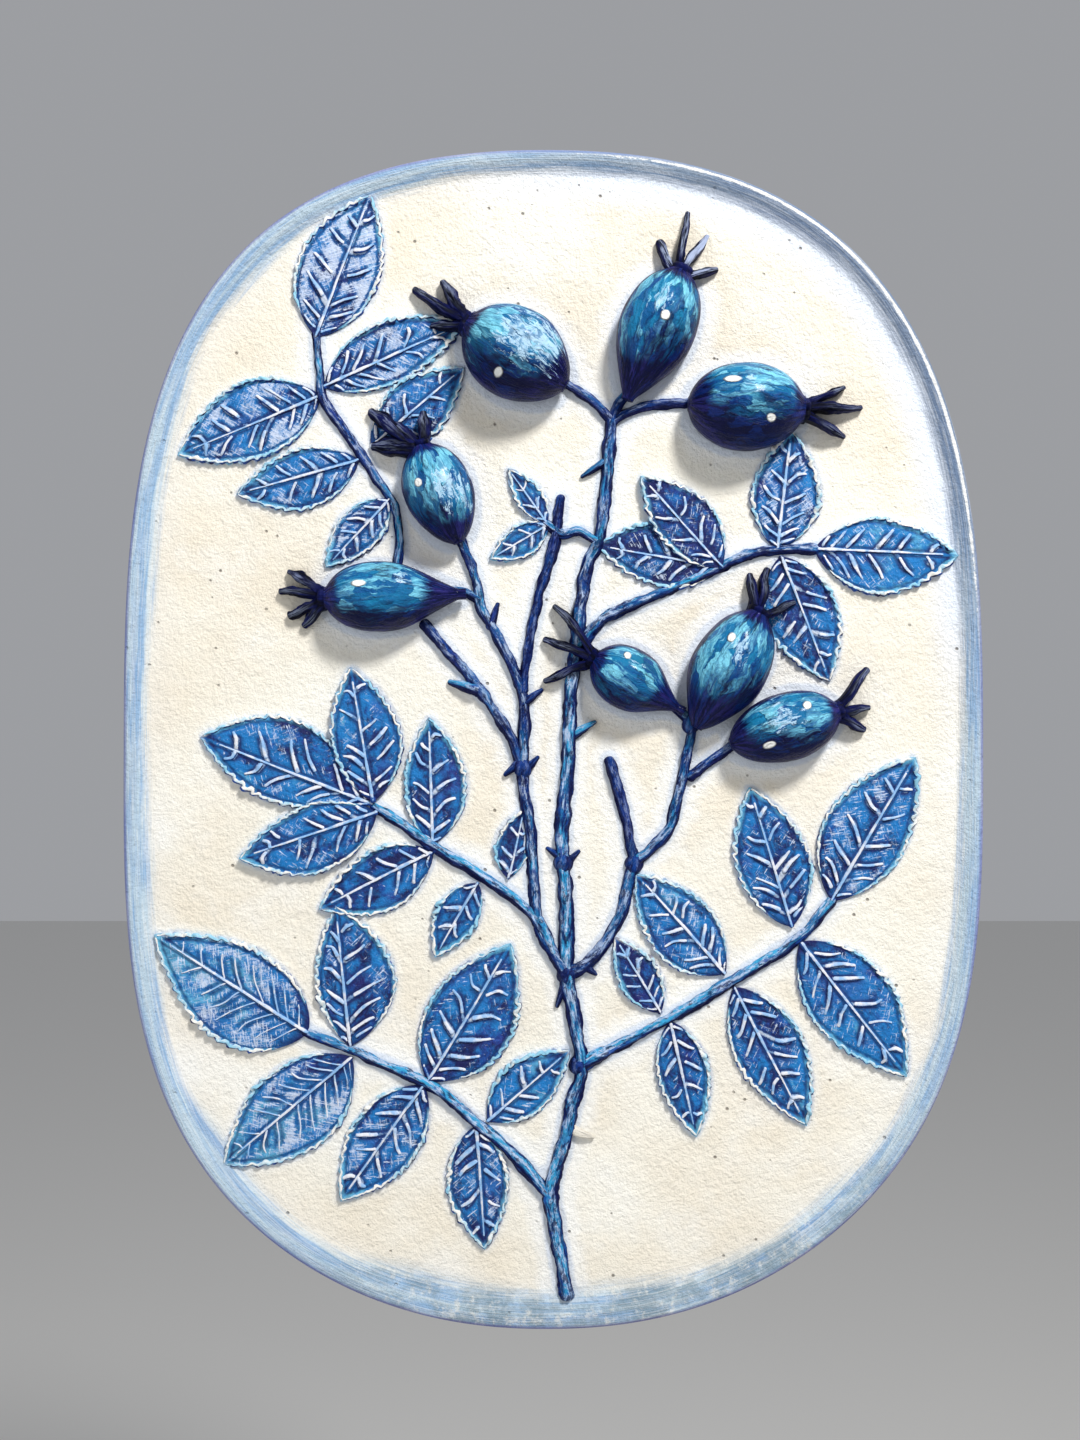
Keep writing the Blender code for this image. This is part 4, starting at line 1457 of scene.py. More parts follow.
@dataclass
class LeafletCasting:
    """One leaflet: a toothed blade with a raised midrib, side veins and lip."""

    name: str
    plan: LeafletPlan
    seed: int
    edge_rise: float = 0.70 * MM
    body_rise: float = 0.88 * MM
    midrib: float = 0.18 * MM
    vein: float = 0.14 * MM
    lip: float = 0.12 * MM
    midrib_radius: float = 0.54 * MM
    vein_radius: float = 0.47 * MM
    fine_radius: float = 0.24 * MM
    lip_radius: float = 0.50 * MM
    lip_inset: float = 0.30 * MM
    flake_pitch: float = 2.5
    wander: float = 0.022
    sweep: float = 1.7
    tooth: float = 0.75 * MM
    tooth_pitch: float = 2.2 * MM
    slant: float = 0.5
    level_step: float = 0.70 * MM
    row_step: float = 0.34 * MM
    column_step: float = 0.34 * MM
    rib_step: float = 0.42 * MM
    lip_step: float = 0.20 * MM
    full_width: float = 14 * MM
    cushion: float = 0.10 * MM
    groove: float = 0.12 * MM
    trough: float = 0.18 * MM
    lump: float = 0.06 * MM
    curl: float = 0.22 * MM
    rib_sink: float = 0.10 * MM

    @property
    def size(self) -> float:
        """The leaflet's length in metres."""
        return axes(self.plan.base, self.plan.tip)[3] * PLAN.unit

    def fineness(self, reach: float) -> float:
        """How much thinner the lines are on a blade with that half width on the plan."""
        return min(1.0, 0.5 + reach * PLAN.unit / self.full_width)

    def side_veins(
        self, side: int, share: np.ndarray, out: np.ndarray, bend: np.ndarray
    ) -> tuple[np.ndarray, np.ndarray]:
        """Shape the side veins of one half.

        Args:
            side: 1 for the left half, -1 for the right.
            share: Rows, from the base to the tip.
            out: Columns, from the midrib to the edge.
            bend: How far each column leans towards the tip.

        Returns:
            The veins' height as a share of the greatest, and the grooves beside them, which also carry
            painted shade.
        """
        fine = self.plan.veins is Veins.FINE
        wide = (0.35 if fine else 0.75) * MM
        ribs = np.zeros(np.broadcast(share, out).shape)
        groove_shade = np.zeros_like(ribs)
        pace = self.sweep * np.maximum(share, 0.02) ** (self.sweep - 1)
        for k in range(self.plan.pairs):
            start, reach, chance = self.vein_line(side, k)
            start = start + self.wander * ripple(out * 2.4, k * 5.0, self.seed + side)
            gap = (share - start) * self.size * (pace * (1 - bend) + bend) * 0.78
            keep = ripple(out * 2.8 + k * 7.1, side * 11.0, self.seed + 3)
            body = (0.85 + 0.45 * keep) * (1 - smooth(reach - 0.2, reach, out))
            body = body * smooth(0.0, 0.07, out + 0.05 * chance)
            body = body * (0.55 if fine else smooth(-0.85, -0.35, keep))
            ribs = np.maximum(ribs, body * np.exp(-((gap / wide) ** 2)))
            beside = np.exp(-(((np.abs(gap) - 0.55 * MM) / (0.42 * MM)) ** 2))
            groove_shade = np.maximum(groove_shade, np.clip(1.3 * body, 0, 1) * beside)
        fade = smooth(0.06, 0.2, share) * (1 - smooth(0.88, 0.97, share))
        return ribs * fade, groove_shade * fade

    def rib(
        self, side: int, share: np.ndarray, out: np.ndarray, radii: np.ndarray, flakes: bool = False
    ) -> tuple[np.ndarray, dict[str, np.ndarray]]:
        """Shape a vein or a lip along a line on the blade.

        Args:
            side: 1 for the left half, -1 for the right.
            share: The line's places from the base to the tip.
            out: The line's places from the midrib to the edge.
            radii: A radius in metres for each place.
            flakes: Whether it is a lip, which breaks into slanting flakes.

        Returns:
            The rib's grid and its marks.
        """
        found = self.half(side, share, out)
        path = PLAN.place(found["u"], found["v"], found["rise"] - self.rib_sink)
        seed = self.seed * 31 + int(share[0] * 97) + side

        def flake(run: np.ndarray, turn: np.ndarray) -> np.ndarray:
            """Shape the lip's flakes.

            Args:
                run: Millimetres along the lip.
                turn: The turn around it.

            Returns:
                The flakes' thickness as a share of the lip's.
            """
            beat = (run + 0.7 * side * np.cos(turn)) / self.flake_pitch
            beat = beat + 0.45 * ripple(run / 4.5, side * 3.0, self.seed)
            beat = beat + 0.8 * ripple(run / 13, side * 7.0, self.seed)
            whole = np.floor(beat)
            point = (beat - whole) ** 0.7 * (1 - smooth(0.78, 1.0, beat - whole))
            size = 0.85 + 0.5 * ripple(whole * 1.7, 0.5, self.seed)
            return (0.26 + size * point) * (1 + 0.4 * ripple(run / 5, side * 2.0, self.seed + 1))

        places, marks = tube(
            *rounded_ends(path, radii),
            seed,
            half_steps=7 if flakes else 6,
            rough=0.14,
            flat=0.95,
            pattern=flake if flakes else None,
        )
        along = np.concatenate([share[:1]] * 3 + [share] + [share[-1:]] * 3)[:, None]
        marks["share"] = np.broadcast_to(along, places.shape[:2])
        marks["lip"] = np.full(places.shape[:2], 1.0 * flakes)
        return places, marks

    def ribs(self) -> list[tuple[np.ndarray, dict[str, np.ndarray]]]:
        """Shape the midrib, the side veins and the lip.

        Returns:
            The grids and marks of them all.
        """
        fine = self.plan.veins is Veins.FINE
        share = np.linspace(0.03, 0.93, max(12, round(self.size / self.rib_step)))
        small = self.fineness(max(self.plan.left, self.plan.right))
        thick = self.midrib_radius * small * (1 - 0.55 * share)
        thick = thick * (0.9 + 0.25 * ripple(share * 11, 0.5, self.seed + 6))
        forms = [self.rib(1, share, 0.012 * ripple(share * 9, 0.5, self.seed) ** 2, thick)]
        for side in (1, -1):
            reach = self.plan.left if side > 0 else self.plan.right
            for k in range(self.plan.pairs):
                start, end, chance = self.vein_line(side, k)
                if not 0.08 < start < 0.9:
                    continue
                width = reach * PLAN.unit * float(blade_width(np.array(start), self.plan.skew))
                count = max(7, round(end * width * 1.35 / self.rib_step))
                out = np.linspace(0.05 + 0.10 * (chance + 1) ** 2 * (not fine) * small, end, count)
                way = np.linspace(0, 1, count)
                keep = ripple(out * 2.8 + k * 7.1, side * 11.0, self.seed + 3)
                thick = (self.fine_radius if fine else self.vein_radius) * small
                thick = thick * (0.95 + 0.22 * keep) * (1.0 - 0.22 * way)
                bent = start + self.wander * ripple(out * 2.4, k * 5.0, self.seed + side)
                forms.append(self.rib(side, bent, out, thick))
            share = np.linspace(0.05, 0.985, round(1.06 * self.size / self.lip_step))
            width = np.maximum(reach * blade_width(share, self.plan.skew) * PLAN.unit, 0.2 * MM)
            out = np.clip(1 - self.lip_inset / width, 0.0, 1.0)
            thick = self.lip_radius * (0.35 + 0.65 * small) * (0.08 + 0.92 * smooth(0.06, 0.26, share))
            thick = thick * (1 - 0.5 * smooth(0.93, 0.985, share))
            forms.append(self.rib(side, share, out, thick, flakes=True))
        return forms

    def vein_line(self, side: int, k: int) -> tuple[float, float, float]:
        """Place a side vein.

        Args:
            side: 1 for the left half, -1 for the right.
            k: Its number from the base.

        Returns:
            Where it starts along the midrib, how far out it reaches, and its chance.
        """
        chance = float(ripple(np.array(k * 3.7 + side * 1.9), 0.5, self.seed + 5))
        start = (k + 0.75 + 0.3 * chance) / (self.plan.pairs + 0.7)
        return start, 0.66 + 0.16 * chance, chance

    def half(self, side: int, share: np.ndarray, out: np.ndarray) -> dict[str, np.ndarray]:
        """Shape one half of the blade.

        Args:
            side: 1 for the left half, -1 for the right.
            share: Rows, from the base to the tip.
            out: Columns, from the midrib to the edge.

        Returns:
            Plan positions, heights and paint marks.
        """
        base, along, left, length = axes(self.plan.base, self.plan.tip)
        reach = self.plan.left if side > 0 else self.plan.right
        small = self.fineness(reach)
        rib = share**self.sweep
        bend = out**0.85
        station = rib + (share - rib) * bend
        guard = smooth(0.03, 0.14, share) * (1 - smooth(0.94, 0.995, share))
        wander = 1 + 0.04 * ripple(share * 5, side * 3.0, self.seed)
        width = reach * blade_width(share, self.plan.skew) * wander
        teeth = max(6, round(self.size / self.tooth_pitch))
        inward = np.minimum((1 - out) * width * PLAN.unit / MM, 1.8)
        beat = share * teeth + 0.35 * ripple(share * 9, side * 2.0, self.seed + 2) + self.slant * inward
        whole = np.floor(beat)
        beat = beat - whole
        point = beat**1.4 * (1 - smooth(0.84, 1.0, beat)) * (1 + 0.4 * ripple(whole * 1.7, 0.5, self.seed))
        deep = self.tooth * (0.45 + 0.75 * smooth(0.2, 0.7, share))
        width = width + guard * deep / PLAN.unit * (point - 0.4) * out**5
        offset = width * out
        bow = 1.6 * np.sin(np.pi * share) * float(ripple(np.array(self.seed * 0.37), 0.5, 7))
        u = base[0] + along[0] * station * length + left[0] * (side * offset + bow)
        v = base[1] + along[1] * station * length + left[1] * (side * offset + bow)

        away = offset * PLAN.unit
        spine_wide = (0.28 + 0.14 * (1 - share)) * MM * small
        spine = np.exp(-((away / spine_wide) ** 2)) * (1 - 0.55 * share)
        spine = spine * smooth(-0.02, 0.05, share) * (1 - smooth(0.88, 1.0, share))
        spine = spine * (1 + 0.12 * ripple(share * 14, 0.5, self.seed + 6))
        ribs, groove_shade = self.side_veins(side, share, out, bend)
        beside_spine = np.exp(-(((away - 2 * spine_wide) / (0.3 * MM)) ** 2)) * smooth(0, 0.1, share)
        groove_shade = np.clip(np.maximum(groove_shade, 0.8 * beside_spine), 0, 1)
        edge = (1 - out) * width * PLAN.unit / MM
        notch = (1 - smooth(0.05, 0.3, beat)) + smooth(0.9, 1.0, beat)
        lift = self.edge_rise + (self.body_rise - self.edge_rise) * (1 - out**3)
        lift = lift + self.cushion * np.sin(np.pi * out) * small
        lift = lift + small * (self.midrib * spine + self.vein * ribs - self.groove * groove_shade)
        brim = np.exp(-(((edge - 0.36) / 0.30) ** 2)) * guard
        trough = np.exp(-(((edge - 1.05) / 0.30) ** 2)) * guard
        ragged = 1 + 0.5 * ripple(share * teeth * 0.6, side * 5.0, self.seed + 9)
        lift = lift + self.lip * brim * (1 - 0.65 * notch) * ragged - self.trough * trough
        lift = lift + self.lump * ripple(u / 9, v / 9, self.seed)
        lift = lift + self.lump * ripple(u / 3.6, v / 3.6, self.seed + 1)
        curl = self.curl * ripple(share * 2.2, side * 1.3 + out * 0.8, self.seed + 8)
        lift = lift + curl * out * smooth(0.1, 0.5, share)
        return {
            "u": u,
            "v": v,
            "rise": lift + self.plan.level * self.level_step,
            "ridge": np.clip(np.maximum(spine * 1.35, ribs), 0, 1.2),
            # The groove mark places painted shade beside the veins and inside the lip.
            "groove": np.clip(groove_shade + 0.75 * trough * (edge > 0.6), 0, 1),
            "edge": edge + 0.34 * notch * guard + 3 * (1 - guard) * (share < 0.5),
            "share": share + 0 * out,
            "x": station * self.size / MM,
            "y": side * offset * PLAN.unit / MM,
        }

    def build(self, finish: bpy.types.Material, ridge_finish: bpy.types.Material) -> None:
        """Model the leaflet's blade, and its veins and lip.

        Args:
            finish: The leaf material.
            ridge_finish: The material of the veins and the lip.
        """
        rows = max(24, round(self.size / self.row_step))
        wide = max(self.plan.left, self.plan.right) * PLAN.unit
        columns = max(12, round(wide / self.column_step))
        share = np.linspace(0, 1, rows + 1)[:, None]
        even = np.linspace(0, 1, columns + 1)[None, :]
        out = even - 0.05 * np.sin(2 * np.pi * even)
        left = self.half(1, share, out)
        right = self.half(-1, share, out)
        joined = {key: np.concatenate([left[key][:, ::-1], right[key][:, 1:]], axis=1) for key in left}
        joined["rise"][:, columns] = 0.5 * (left["rise"][:, 0] + right["rise"][:, 0])
        top = PLAN.place(joined["u"], joined["v"], joined["rise"])
        flank = top[:, [0, -1]].copy()
        flank[..., 1] = -PLAN.ground + PLAN.root
        places = np.concatenate([flank[:, :1], top, flank[:, 1:]], axis=1)

        def padded(key: str) -> np.ndarray:
            """Carry a mark from the edge down the flank."""
            value = joined[key]
            return np.concatenate([value[:, :1], value, value[:, -1:]], axis=1)

        shape = places.shape[:2]
        marks = {key: padded(key) for key in ("ridge", "groove", "edge", "share")}
        marks["blade"] = np.stack([padded("x"), padded("y"), np.full(shape, self.seed * 9.1)], axis=-1)
        marks["frost"] = np.full(shape, self.plan.frost)
        marks["bright"] = np.full(shape, self.plan.bright)
        dress(shaped_grid(self.name, places, marks, sharp=70), finish)
        dress(shaped_grids(f"{self.name}_veins", self.ribs(), sharp=80), ridge_finish)


def tube(
    path: np.ndarray,
    radii: np.ndarray,
    seed: int,
    half_steps: int = 12,
    rough: float = 0.10,
    flat: float = 1.0,
    pattern: Callable[[np.ndarray, np.ndarray], np.ndarray] | None = None,
) -> tuple[np.ndarray, dict[str, np.ndarray]]:
    """Shape a round body with straight flanks down into the slab.

    Args:
        path: Places along its axis.
        radii: A radius for each place.
        seed: Picks the unevenness.
        half_steps: Steps over the round back.
        rough: Unevenness as a share of the radius.
        flat: Height of the back as a share of its half width.
        pattern: Thickness by the millimetres along it and the turn around it.

    Returns:
        The grid's places and its marks.
    """
    along = np.gradient(path, axis=0)
    along /= np.linalg.norm(along, axis=1)[:, None]
    across = np.stack([along[:, 2], np.zeros(len(path)), -along[:, 0]], axis=1)
    across /= np.linalg.norm(across, axis=1)[:, None]
    run = np.concatenate([[0], np.cumsum(np.linalg.norm(np.diff(path, axis=0), axis=1))]) / MM
    turn = np.linspace(0, np.pi, half_steps + 1)[None, :]
    uneven = 1 + rough * ripple(run[:, None] / 2.4, turn * 1.6, seed)
    uneven = uneven + 0.6 * rough * ripple(run[:, None] / 0.9, turn * 2.4, seed + 4)
    uneven = uneven + 0.9 * rough * ripple(run[:, None] / 9.0, turn * 3.2, seed + 7)
    if pattern is not None:
        uneven = uneven * pattern(run[:, None], turn)
    size = radii[:, None] * uneven
    back = path[:, None] + across[:, None] * (size * np.cos(turn))[..., None]
    back[..., 1] -= flat * size * np.sin(turn)
    feet = back[:, [-1, 0]].copy()
    feet[..., 1] = -PLAN.ground + PLAN.root
    places = np.concatenate([back, feet, back[:, :1]], axis=1)
    shape = places.shape[:2]
    length = np.broadcast_to(run[:, None], shape)

    def closed(value: np.ndarray) -> np.ndarray:
        """Add the flanks and the seam to a mark."""
        value = value + 0 * run[:, None]
        return np.concatenate([value, np.zeros((len(path), 2)), value[:, :1]], axis=1)

    lower = -across[:, 2:] * np.cos(turn)
    marks = {
        "crest": closed(np.sin(turn)),
        "under": np.concatenate([lower, lower[:, [-1, 0]], lower[:, :1]], axis=1),
        "share": length / run[-1],
        "bark": np.stack([length, closed(turn * 1.3), np.full(shape, seed * 5.3)], axis=-1),
    }
    return places, marks


def rounded_ends(path: np.ndarray, radii: np.ndarray) -> tuple[np.ndarray, np.ndarray]:
    """Add small rings past both ends, so that they are rounded.

    Args:
        path: Places along the tube's axis.
        radii: A radius for each place.

    Returns:
        The longer path and its radii.
    """
    caps, sizes = [], []
    turns = np.array([0.5, 0.95, 1.3])
    for end, inner in ((0, 1), (-1, -2)):
        way = path[end] - path[inner]
        way /= np.linalg.norm(way)
        caps.append(path[end] + np.sin(turns)[:, None] * radii[end] * 0.8 * way)
        sizes.append(np.cos(turns) * radii[end])
    joined = np.vstack([caps[0][::-1], path, caps[1]])
    return joined, np.concatenate([sizes[0][::-1], radii, sizes[1]])


@dataclass
class StemCasting:
    """One stem, twig or leaf stalk."""

    name: str
    plan: StemPlan
    seed: int
    axis_rise: float = 0.45 * MM
    step: float = 0.55 * MM
    sway: float = 0.16 * MM
    wave: float = 0.22 * MM

    def build(self, finish: bpy.types.Material) -> bpy.types.Object:
        """Model the stem.

        Args:
            finish: The stem material.

        Returns:
            The stem.
        """
        path = PLAN.path(self.plan.points, self.axis_rise, self.step)
        radii = np.linspace(self.plan.radius, self.plan.end_radius, len(path))
        run = np.arange(len(path))
        radii = 0.94 * radii * (1 + 0.14 * ripple(run / 5, 0.5, self.seed))
        radii = radii * (1 + 0.18 * smooth(0.55, 0.85, ripple(run / 6, 0.5, self.seed + 2)))
        path[:, 0] += self.sway * ripple(run / 5, 0.5, self.seed + 4)
        path[:, 1] -= self.wave * ripple(run / 8, 0.5, self.seed + 3)
        places, marks = tube(*rounded_ends(path, radii), self.seed, rough=0.19)
        last = self.plan.bright if self.plan.end_bright is None else self.plan.end_bright
        marks["bright"] = self.plan.bright + (last - self.plan.bright) * marks["share"]
        piece = shaped_grid(self.name, places, marks)
        dress(piece, finish)
        return piece


@dataclass
class ThornCasting:
    """A thorn or a cut side shoot, thinning towards its tip."""

    name: str
    plan: ThornPlan
    seed: int
    radius: float = 0.95 * MM
    rise: float = 0.45 * MM
    arch: float = 0.35 * MM

    def build(self, finish: bpy.types.Material) -> bpy.types.Object:
        """Model the thorn.

        Args:
            finish: The stem material.

        Returns:
            The thorn.
        """
        path = PLAN.path((self.plan.root, self.plan.tip), self.rise, 0.3 * MM)
        share = np.linspace(0, 1, len(path))
        radii = self.radius * self.plan.thick * (1 - 0.6 * share**1.3)
        path[:, 1] -= self.arch * np.sin(np.pi * share)
        places, marks = tube(*rounded_ends(path, radii), self.seed, half_steps=10, rough=0.16)
        for name, value in (("bright", self.plan.bright), ("bare", self.plan.bare)):
            marks[name] = np.full(marks["share"].shape, value)
        piece = shaped_grid(self.name, places, marks)
        dress(piece, finish)
        return piece


@dataclass
class KnotCasting:
    """A thickening where stems meet."""

    name: str
    spot: tuple[float, float]
    seed: int
    radius: float = 1.9 * MM
    rise: float = 0.45 * MM

    def build(self, finish: bpy.types.Material) -> bpy.types.Object:
        """Model the knot.

        Args:
            finish: The stem material.

        Returns:
            The knot.
        """
        middle = PLAN.place(np.array(self.spot[0]), np.array(self.spot[1]), np.array(self.rise))
        lift = np.linspace(-0.95, 0.95, 17)
        path = middle + lift[:, None] * np.array([0.15, 0, 1.1]) * self.radius
        radii = self.radius * np.sqrt(1 - lift**2)
        places, marks = tube(path, radii, self.seed, rough=0.14)
        piece = shaped_grid(self.name, places, marks)
        dress(piece, finish)
        return piece


@dataclass
class HipCasting:
    """A rose hip with its crown and its dried sepals."""

    name: str
    plan: HipPlan
    seed: int
    roundness: float = 1.45
    rings: int = 60
    sides: int = 64
    neck: float = 0.30
    stalk_neck: float = 0.16
    sepal_tip_rise: float = 1.1 * MM
    sepal_arch: float = 0.6 * MM
    crown_radius: float = 2.2 * MM

    def size(self, share: np.ndarray) -> np.ndarray:
        """Shape the hip's side.

        Args:
            share: Places along the hip.

        Returns:
            The radius there, as a share of its greatest.
        """
        bent = np.clip(share, 0, 1) ** self.plan.fullness
        body = np.sqrt(np.clip(1 - (2 * bent - 1) ** 2, 0, 1))
        body = body * (1 - self.plan.waist * (1 - smooth(0.0, 0.5, share)))
        neck = self.neck * smooth(0.78, 0.97, share) + self.stalk_neck * (1 - smooth(0.02, 0.16, share))
        return (body**5 + neck**5) ** 0.2

    @property
    def axis_rise(self) -> float:
        """Height of the hip's axis over the ground."""
        return 0.5 * self.plan.width * PLAN.unit * (self.roundness - 1)

    def ends(self) -> tuple[np.ndarray, np.ndarray, np.ndarray, float]:
        """The hip's start, direction, left side and length on the plan, as seen."""
        return axes(
            PLAN.under_view(self.plan.stalk, self.axis_rise),
            PLAN.under_view(self.plan.blossom, self.axis_rise),
        )

    def build_body(self, finish: bpy.types.Material) -> bpy.types.Object:
        """Model the hip's round body.

        Args:
            finish: The hip material.

        Returns:
            The body.
        """
        start, along, left, length = self.ends()
        share = 0.5 - 0.5 * np.cos(np.pi * np.linspace(0.012, 1, self.rings + 1))
        turn = np.linspace(-np.pi / 2, 1.5 * np.pi, self.sides + 1)[None, :]
        share = share[:, None]
        dents = 1 + 0.020 * ripple(turn * 1.9, share * 3, self.seed)
        dents = dents + 0.016 * ripple(turn * 4.5, share * 2.2, self.seed + 2)
        dents = dents + 0.010 * ripple(turn * 9, share * 7, self.seed + 3)
        dents = np.where(np.isclose(turn, 1.5 * np.pi), dents[:, :1], dents)
        half = 0.5 * self.plan.width
        radius = half * self.size(share) * dents
        rise = self.axis_rise + radius * PLAN.unit * np.sin(turn)
        u = start[0] + along[0] * share * length + left[0] * radius * np.cos(turn)
        v = start[1] + along[1] * share * length + left[1] * radius * np.cos(turn)
        shape = u.shape
        x = share * length * PLAN.unit / MM + 0 * turn
        y = turn * half * PLAN.unit / MM * 0.9 + 0 * share
        # Painted shade: under grows towards the hip's lower side and its lower end, where it is painted
        # darker; the plan's shade moves that edge.
        lower = left[1] * np.cos(turn) + along[1] * (2 * share - 1) * 0.7 + self.plan.shade
        thin_end = 0.04 + 0.3 * self.plan.waist
        belly = smooth(thin_end, thin_end + 0.3, share) * (1 - smooth(0.78, 0.98, share))
        marks = {
            "skin": np.stack([x, y, np.full(shape, self.seed * 17.7)], axis=-1),
            "belly": belly + 0 * turn,
            "crest": np.sin(turn) + 0 * share,
            "under": lower,
            "frost": np.full(shape, self.plan.frost),
        }
        hidden = np.where(np.sin(turn) > -0.2, 0.0, 50.0) + 0 * share
        painted = self.plan.dots + ((-999.0, -999.0, 1.0, 1.0),)
        glow = (*self.plan.glow, self.plan.glow[2] * 0.75)
        for name, (du, dv, long, wide) in zip(("dot_a", "dot_b", "glow"), (*painted[:2], glow)):
            top = self.axis_rise + 0.9 * half * PLAN.unit
            du, dv = PLAN.under_view((du, dv), top)
            lengthwise = ((u - du) * along[0] + (v - dv) * along[1]) * PLAN.unit / MM / long
            crosswise = ((u - du) * left[0] + (v - dv) * left[1]) * PLAN.unit / MM / wide
            marks[name] = np.stack([lengthwise, crosswise, hidden], axis=-1)
        piece = shaped_grid(self.name, PLAN.place(u, v, rise), marks)
        dress(piece, finish)
        return piece

    def build_sepals(self, finish: bpy.types.Material) -> None:
        """Model the crown and each sepal.

        Args:
            finish: The sepal material.
        """
        start, along, _, length = self.ends()
        rise = self.axis_rise

        def on_axis(share: float) -> np.ndarray:
            """A place on the hip's axis."""
            u, v = start + along * length * share
            return PLAN.place(np.array(u), np.array(v), np.array(rise))

        crown_path = np.stack([on_axis(s) for s in np.linspace(0.92, 1.05, 14)])
        t = np.linspace(0, 1, 14)
        crown_radii = self.crown_radius * (0.80 + 0.22 * t) * (1 - 0.25 * smooth(0.85, 1, t))
        crown_radii = crown_radii * min(1.0, 0.5 + self.plan.width / 150)
        places, marks = tube(crown_path, crown_radii, self.seed + 20, half_steps=20, rough=0.16)
        marks["share"] = np.zeros(places.shape[:2])
        marks["chalk"] = np.zeros(places.shape[:2])
        piece = shaped_grid(f"{self.name}_crown", places, marks)
        dress(piece, finish)
        root = on_axis(0.95)
        for number, (tip_u, tip_v, half_width) in enumerate(self.plan.sepals, 1):
            end = PLAN.place(np.array(float(tip_u)), np.array(float(tip_v)), np.array(self.sepal_tip_rise))
            t = np.linspace(0, 1, 34)
            path = root + (end - root) * t[:, None]
            sideways = np.cross((end - root), [0, 1, 0])
            wave = 0.07 * ripple(t[:, None] * 2.2, 0.5, self.seed + number)
            path = path + sideways * wave * np.sin(np.pi * t)[:, None]
            path[:, 1] = root[1] * (1 - t) + end[1] * t - self.sepal_arch * np.sin(np.pi * t)
            radii = half_width * MM * (0.95 + 0.25 * ripple(t * 4.0, 0.5, self.seed * 3 + number))
            radii = radii * (1 - 0.35 * smooth(0.75, 1.0, t))
            places, marks = tube(
                *rounded_ends(path, radii), self.seed * 5 + number, half_steps=14, rough=0.26, flat=0.85
            )
            chalked = self.plan.chalk * smooth(0.1, 0.5, marks["share"]) * marks["crest"]
            marks["chalk"] = chalked * (0.6 + 0.6 * ripple(np.array(number * 1.7), 0.5, self.seed))
            piece = shaped_grid(f"{self.name}_sepal_{number}", places, marks)
            dress(piece, finish)


@dataclass
class Branch:
    """The whole branch: leaflets, stems, thorns, knots and hips, each with its finish."""

    leaf: bpy.types.Material
    ridge: bpy.types.Material
    stem: bpy.types.Material
    hip: bpy.types.Material
    sepal: bpy.types.Material

    def distances(self, x: np.ndarray, z: np.ndarray) -> tuple[np.ndarray, np.ndarray]:
        """Measure how far points of the face are from the branch.

        Args:
            x: The points' x in metres.
            z: The points' z in metres.

        Returns:
            Distances in millimetres to the nearest stem or hip, and to the nearest leaflet.
        """
        woody: list[tuple[float, float, float]] = []
        for plan in STEMS.values():
            path = PLAN.path(plan.points, 0, 0.8 * MM)
            radii = np.linspace(plan.radius, plan.end_radius, len(path))
            woody += [(p[0], p[2], r) for p, r in zip(path, radii)]
        for hip in HIPS:
            casting = HipCasting("", hip, 0)
            start, along, left, length = casting.ends()
            for share in np.linspace(0.04, 0.98, 26):
                half = 0.5 * hip.width * float(casting.size(np.array(share)))
                for out in np.linspace(-0.9, 0.9, 9):
                    u, v = start + along * length * share + left * half * out
                    spot = PLAN.place(np.array(u), np.array(v), np.array(0.0))
                    woody.append((spot[0], spot[2], 1.2 * MM))
        blades: list[tuple[float, float, float]] = []
        for group in LEAFLETS.values():
            for leaf in group:
                base, along, left, length = axes(leaf.base, leaf.tip)
                for share in np.linspace(0.02, 0.99, 34):
                    for reach in (leaf.left, -leaf.right):
                        for out in (0.97, 0.6, 0.2):
                            half = reach * float(blade_width(np.array(share), leaf.skew)) * out
                            u, v = base + along * length * share + left * half
                            spot = PLAN.place(np.array(u), np.array(v), np.array(0.0))
                            blades.append((spot[0], spot[2], 0.2 * MM))
        found = []
        for samples in (woody, blades):
            tree = kdtree.KDTree(len(samples))
            for index, (px, pz, _) in enumerate(samples):
                tree.insert((px, 0, pz), index)
            tree.balance()
            gaps = np.empty(x.size)
            for index, (px, pz) in enumerate(zip(x.ravel(), z.ravel())):
                _, nearest, gap = tree.find((px, 0, pz))
                gaps[index] = (gap - samples[nearest][2]) / MM
            found.append(gaps.reshape(x.shape))
        return found[0], found[1]

    def build(self) -> None:
        """Model every piece of the branch."""
        seed = 1
        for spray, group in LEAFLETS.items():
            for number, plan in enumerate(group, 1):
                LeafletCasting(f"leaflet_{spray}_{number}", plan, seed).build(self.leaf, self.ridge)
                seed += 1
        for name, plan in STEMS.items():
            StemCasting(f"stem_{name}", plan, seed).build(self.stem)
            seed += 1
        for number, plan in enumerate(THORNS, 1):
            ThornCasting(f"thorn_{number}", plan, seed).build(self.stem)
            seed += 1
        for number, spot in enumerate(KNOTS, 1):
            KnotCasting(f"knot_{number}", spot, seed).build(self.stem)
            seed += 1
        for number, plan in enumerate(HIPS, 1):
            casting = HipCasting(f"hip_{number}", plan, seed)
            casting.build_body(self.hip)
            casting.build_sepals(self.sepal)
            seed += 1


@dataclass(frozen=True)
class Lamp:
    """A soft square light that points at the plaque: its place, side, power and colour."""

    name: str
    place: tuple[float, float, float]
    side: float
    power: float
    colour: tuple[float, float, float]

    def hang(self) -> None:
        """Hang the light."""
        lamp = bpy.data.lights.new(self.name, "AREA")
        lamp.size = self.side
        lamp.energy = self.power
        lamp.color = self.colour
        holder = bpy.data.objects.new(self.name, lamp)
        holder.location = self.place
        holder.rotation_euler = Vector(self.place).to_track_quat("Z", "Y").to_euler()
        bpy.context.scene.collection.objects.link(holder)


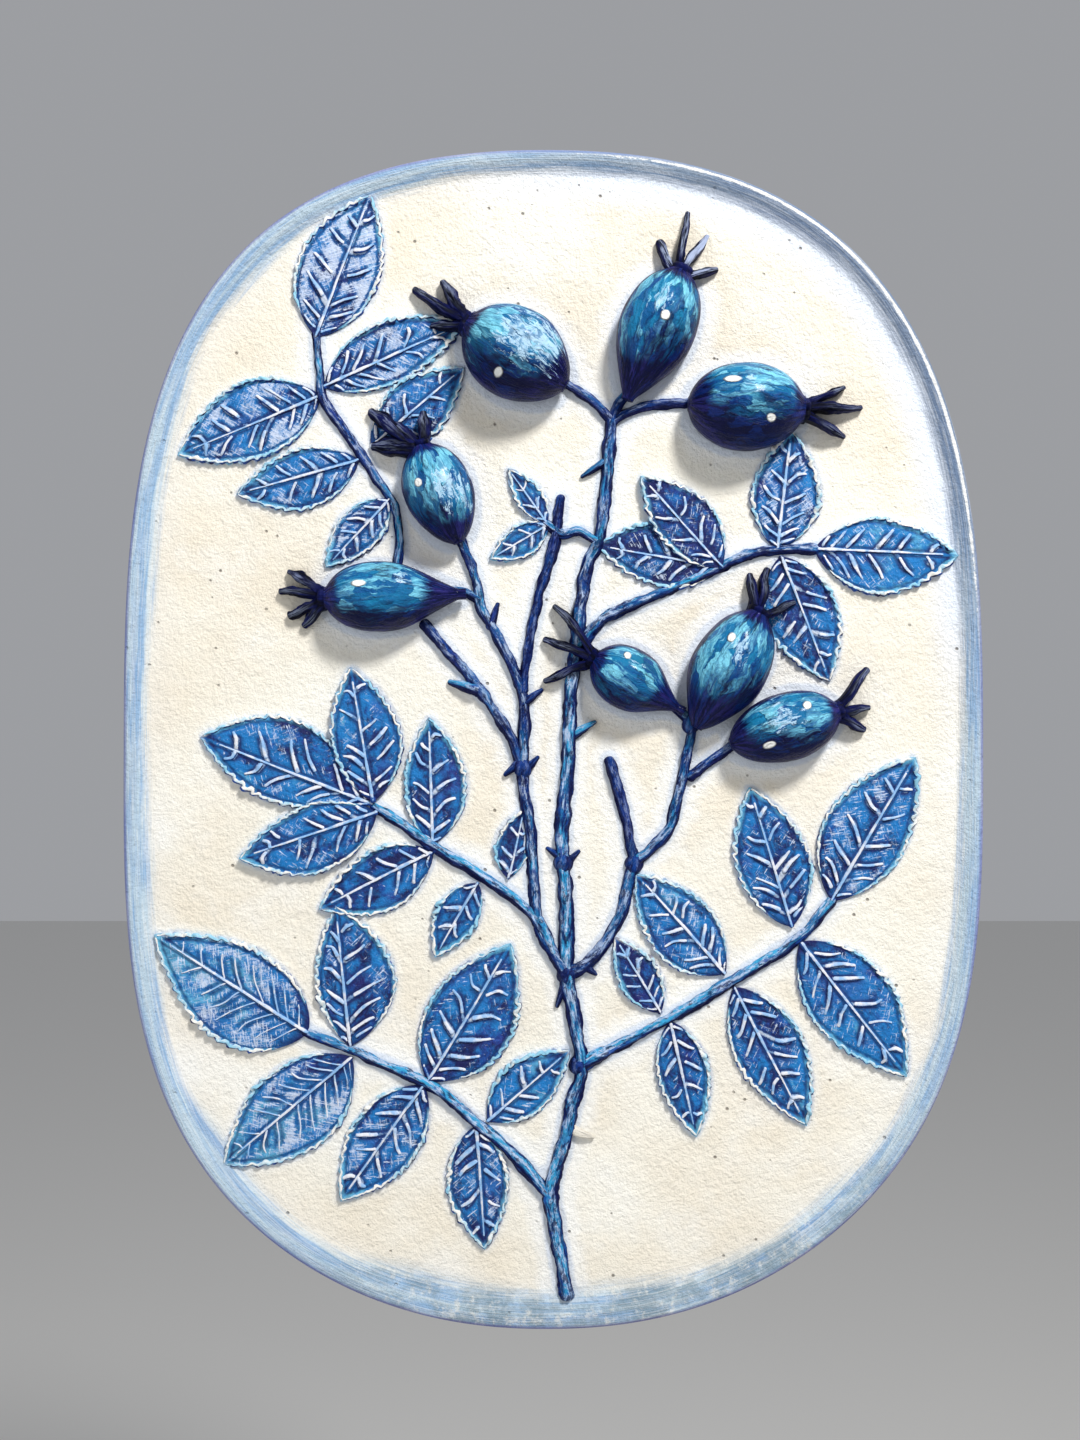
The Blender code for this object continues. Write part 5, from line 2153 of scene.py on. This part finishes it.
@dataclass
class Studio:
    """A pale floor, soft light from the upper right and a camera square to the face."""

    floor_drop: float = 0.45
    floor_tone: tuple[float, float, float, float] = paint(226, 225, 222)
    sky_tone: tuple[float, float, float, float] = (0.93, 0.95, 1.0, 1)
    sky_strength: float = 0.36
    key: Lamp = Lamp("key", (0.30, -0.52, 0.58), 0.13, 8.0, (1.0, 0.985, 0.96))
    fill: Lamp = Lamp("fill", (-0.60, -0.60, -0.05), 0.7, 1.6, (0.92, 0.96, 1.0))
    view_height: float = 1440.0
    sensor: float = 36.0

    def build(self) -> None:
        """Make the floor, the lights and the camera."""
        bpy.ops.object.select_all(action="DESELECT")
        bpy.ops.mesh.primitive_plane_add(size=6, location=(0, 0, -self.floor_drop))
        floor = bpy.context.object
        floor.name = "floor"
        material, _, shader = start_finish("floor_pale", 0.9)
        shader["Base Color"].default_value = self.floor_tone
        floor.data.materials.append(material)

        world = bpy.data.worlds.new("studio")
        bpy.context.scene.world = world
        world.use_nodes = True
        sky = world.node_tree.nodes["Background"].inputs
        sky["Color"].default_value = self.sky_tone
        sky["Strength"].default_value = self.sky_strength
        self.key.hang()
        self.fill.hang()

        middle = PLAN.place(*(np.array(c) for c in PLAN.view_centre), np.array(0.0))
        camera = bpy.data.cameras.new("camera")
        camera.sensor_fit = "VERTICAL"
        camera.sensor_height = self.sensor
        camera.lens = self.sensor * PLAN.view_distance / (self.view_height * PLAN.unit)
        camera.clip_start = 0.01
        eye = bpy.data.objects.new("camera", camera)
        eye.location = (middle[0], middle[1] - PLAN.view_distance, middle[2])
        eye.rotation_euler = (math.pi / 2, 0, 0)
        bpy.context.scene.collection.objects.link(eye)
        bpy.context.scene.camera = eye
        bpy.context.scene.view_settings.view_transform = "Standard"


def main() -> None:
    """Build the studio, the branch and the slab, in that order."""
    logging.basicConfig(level=logging.INFO, format="%(name)s: %(message)s")
    Studio().build()
    effects = Effects()
    branch = Branch(
        LeafFinish().build(effects),
        RidgeFinish().build(effects),
        StemFinish().build(effects),
        HipFinish().build(effects),
        SepalFinish().build(effects),
    )
    branch.build()
    Slab().build(branch, PlasterFinish().build(effects))


if __name__ == "__main__":
    main()
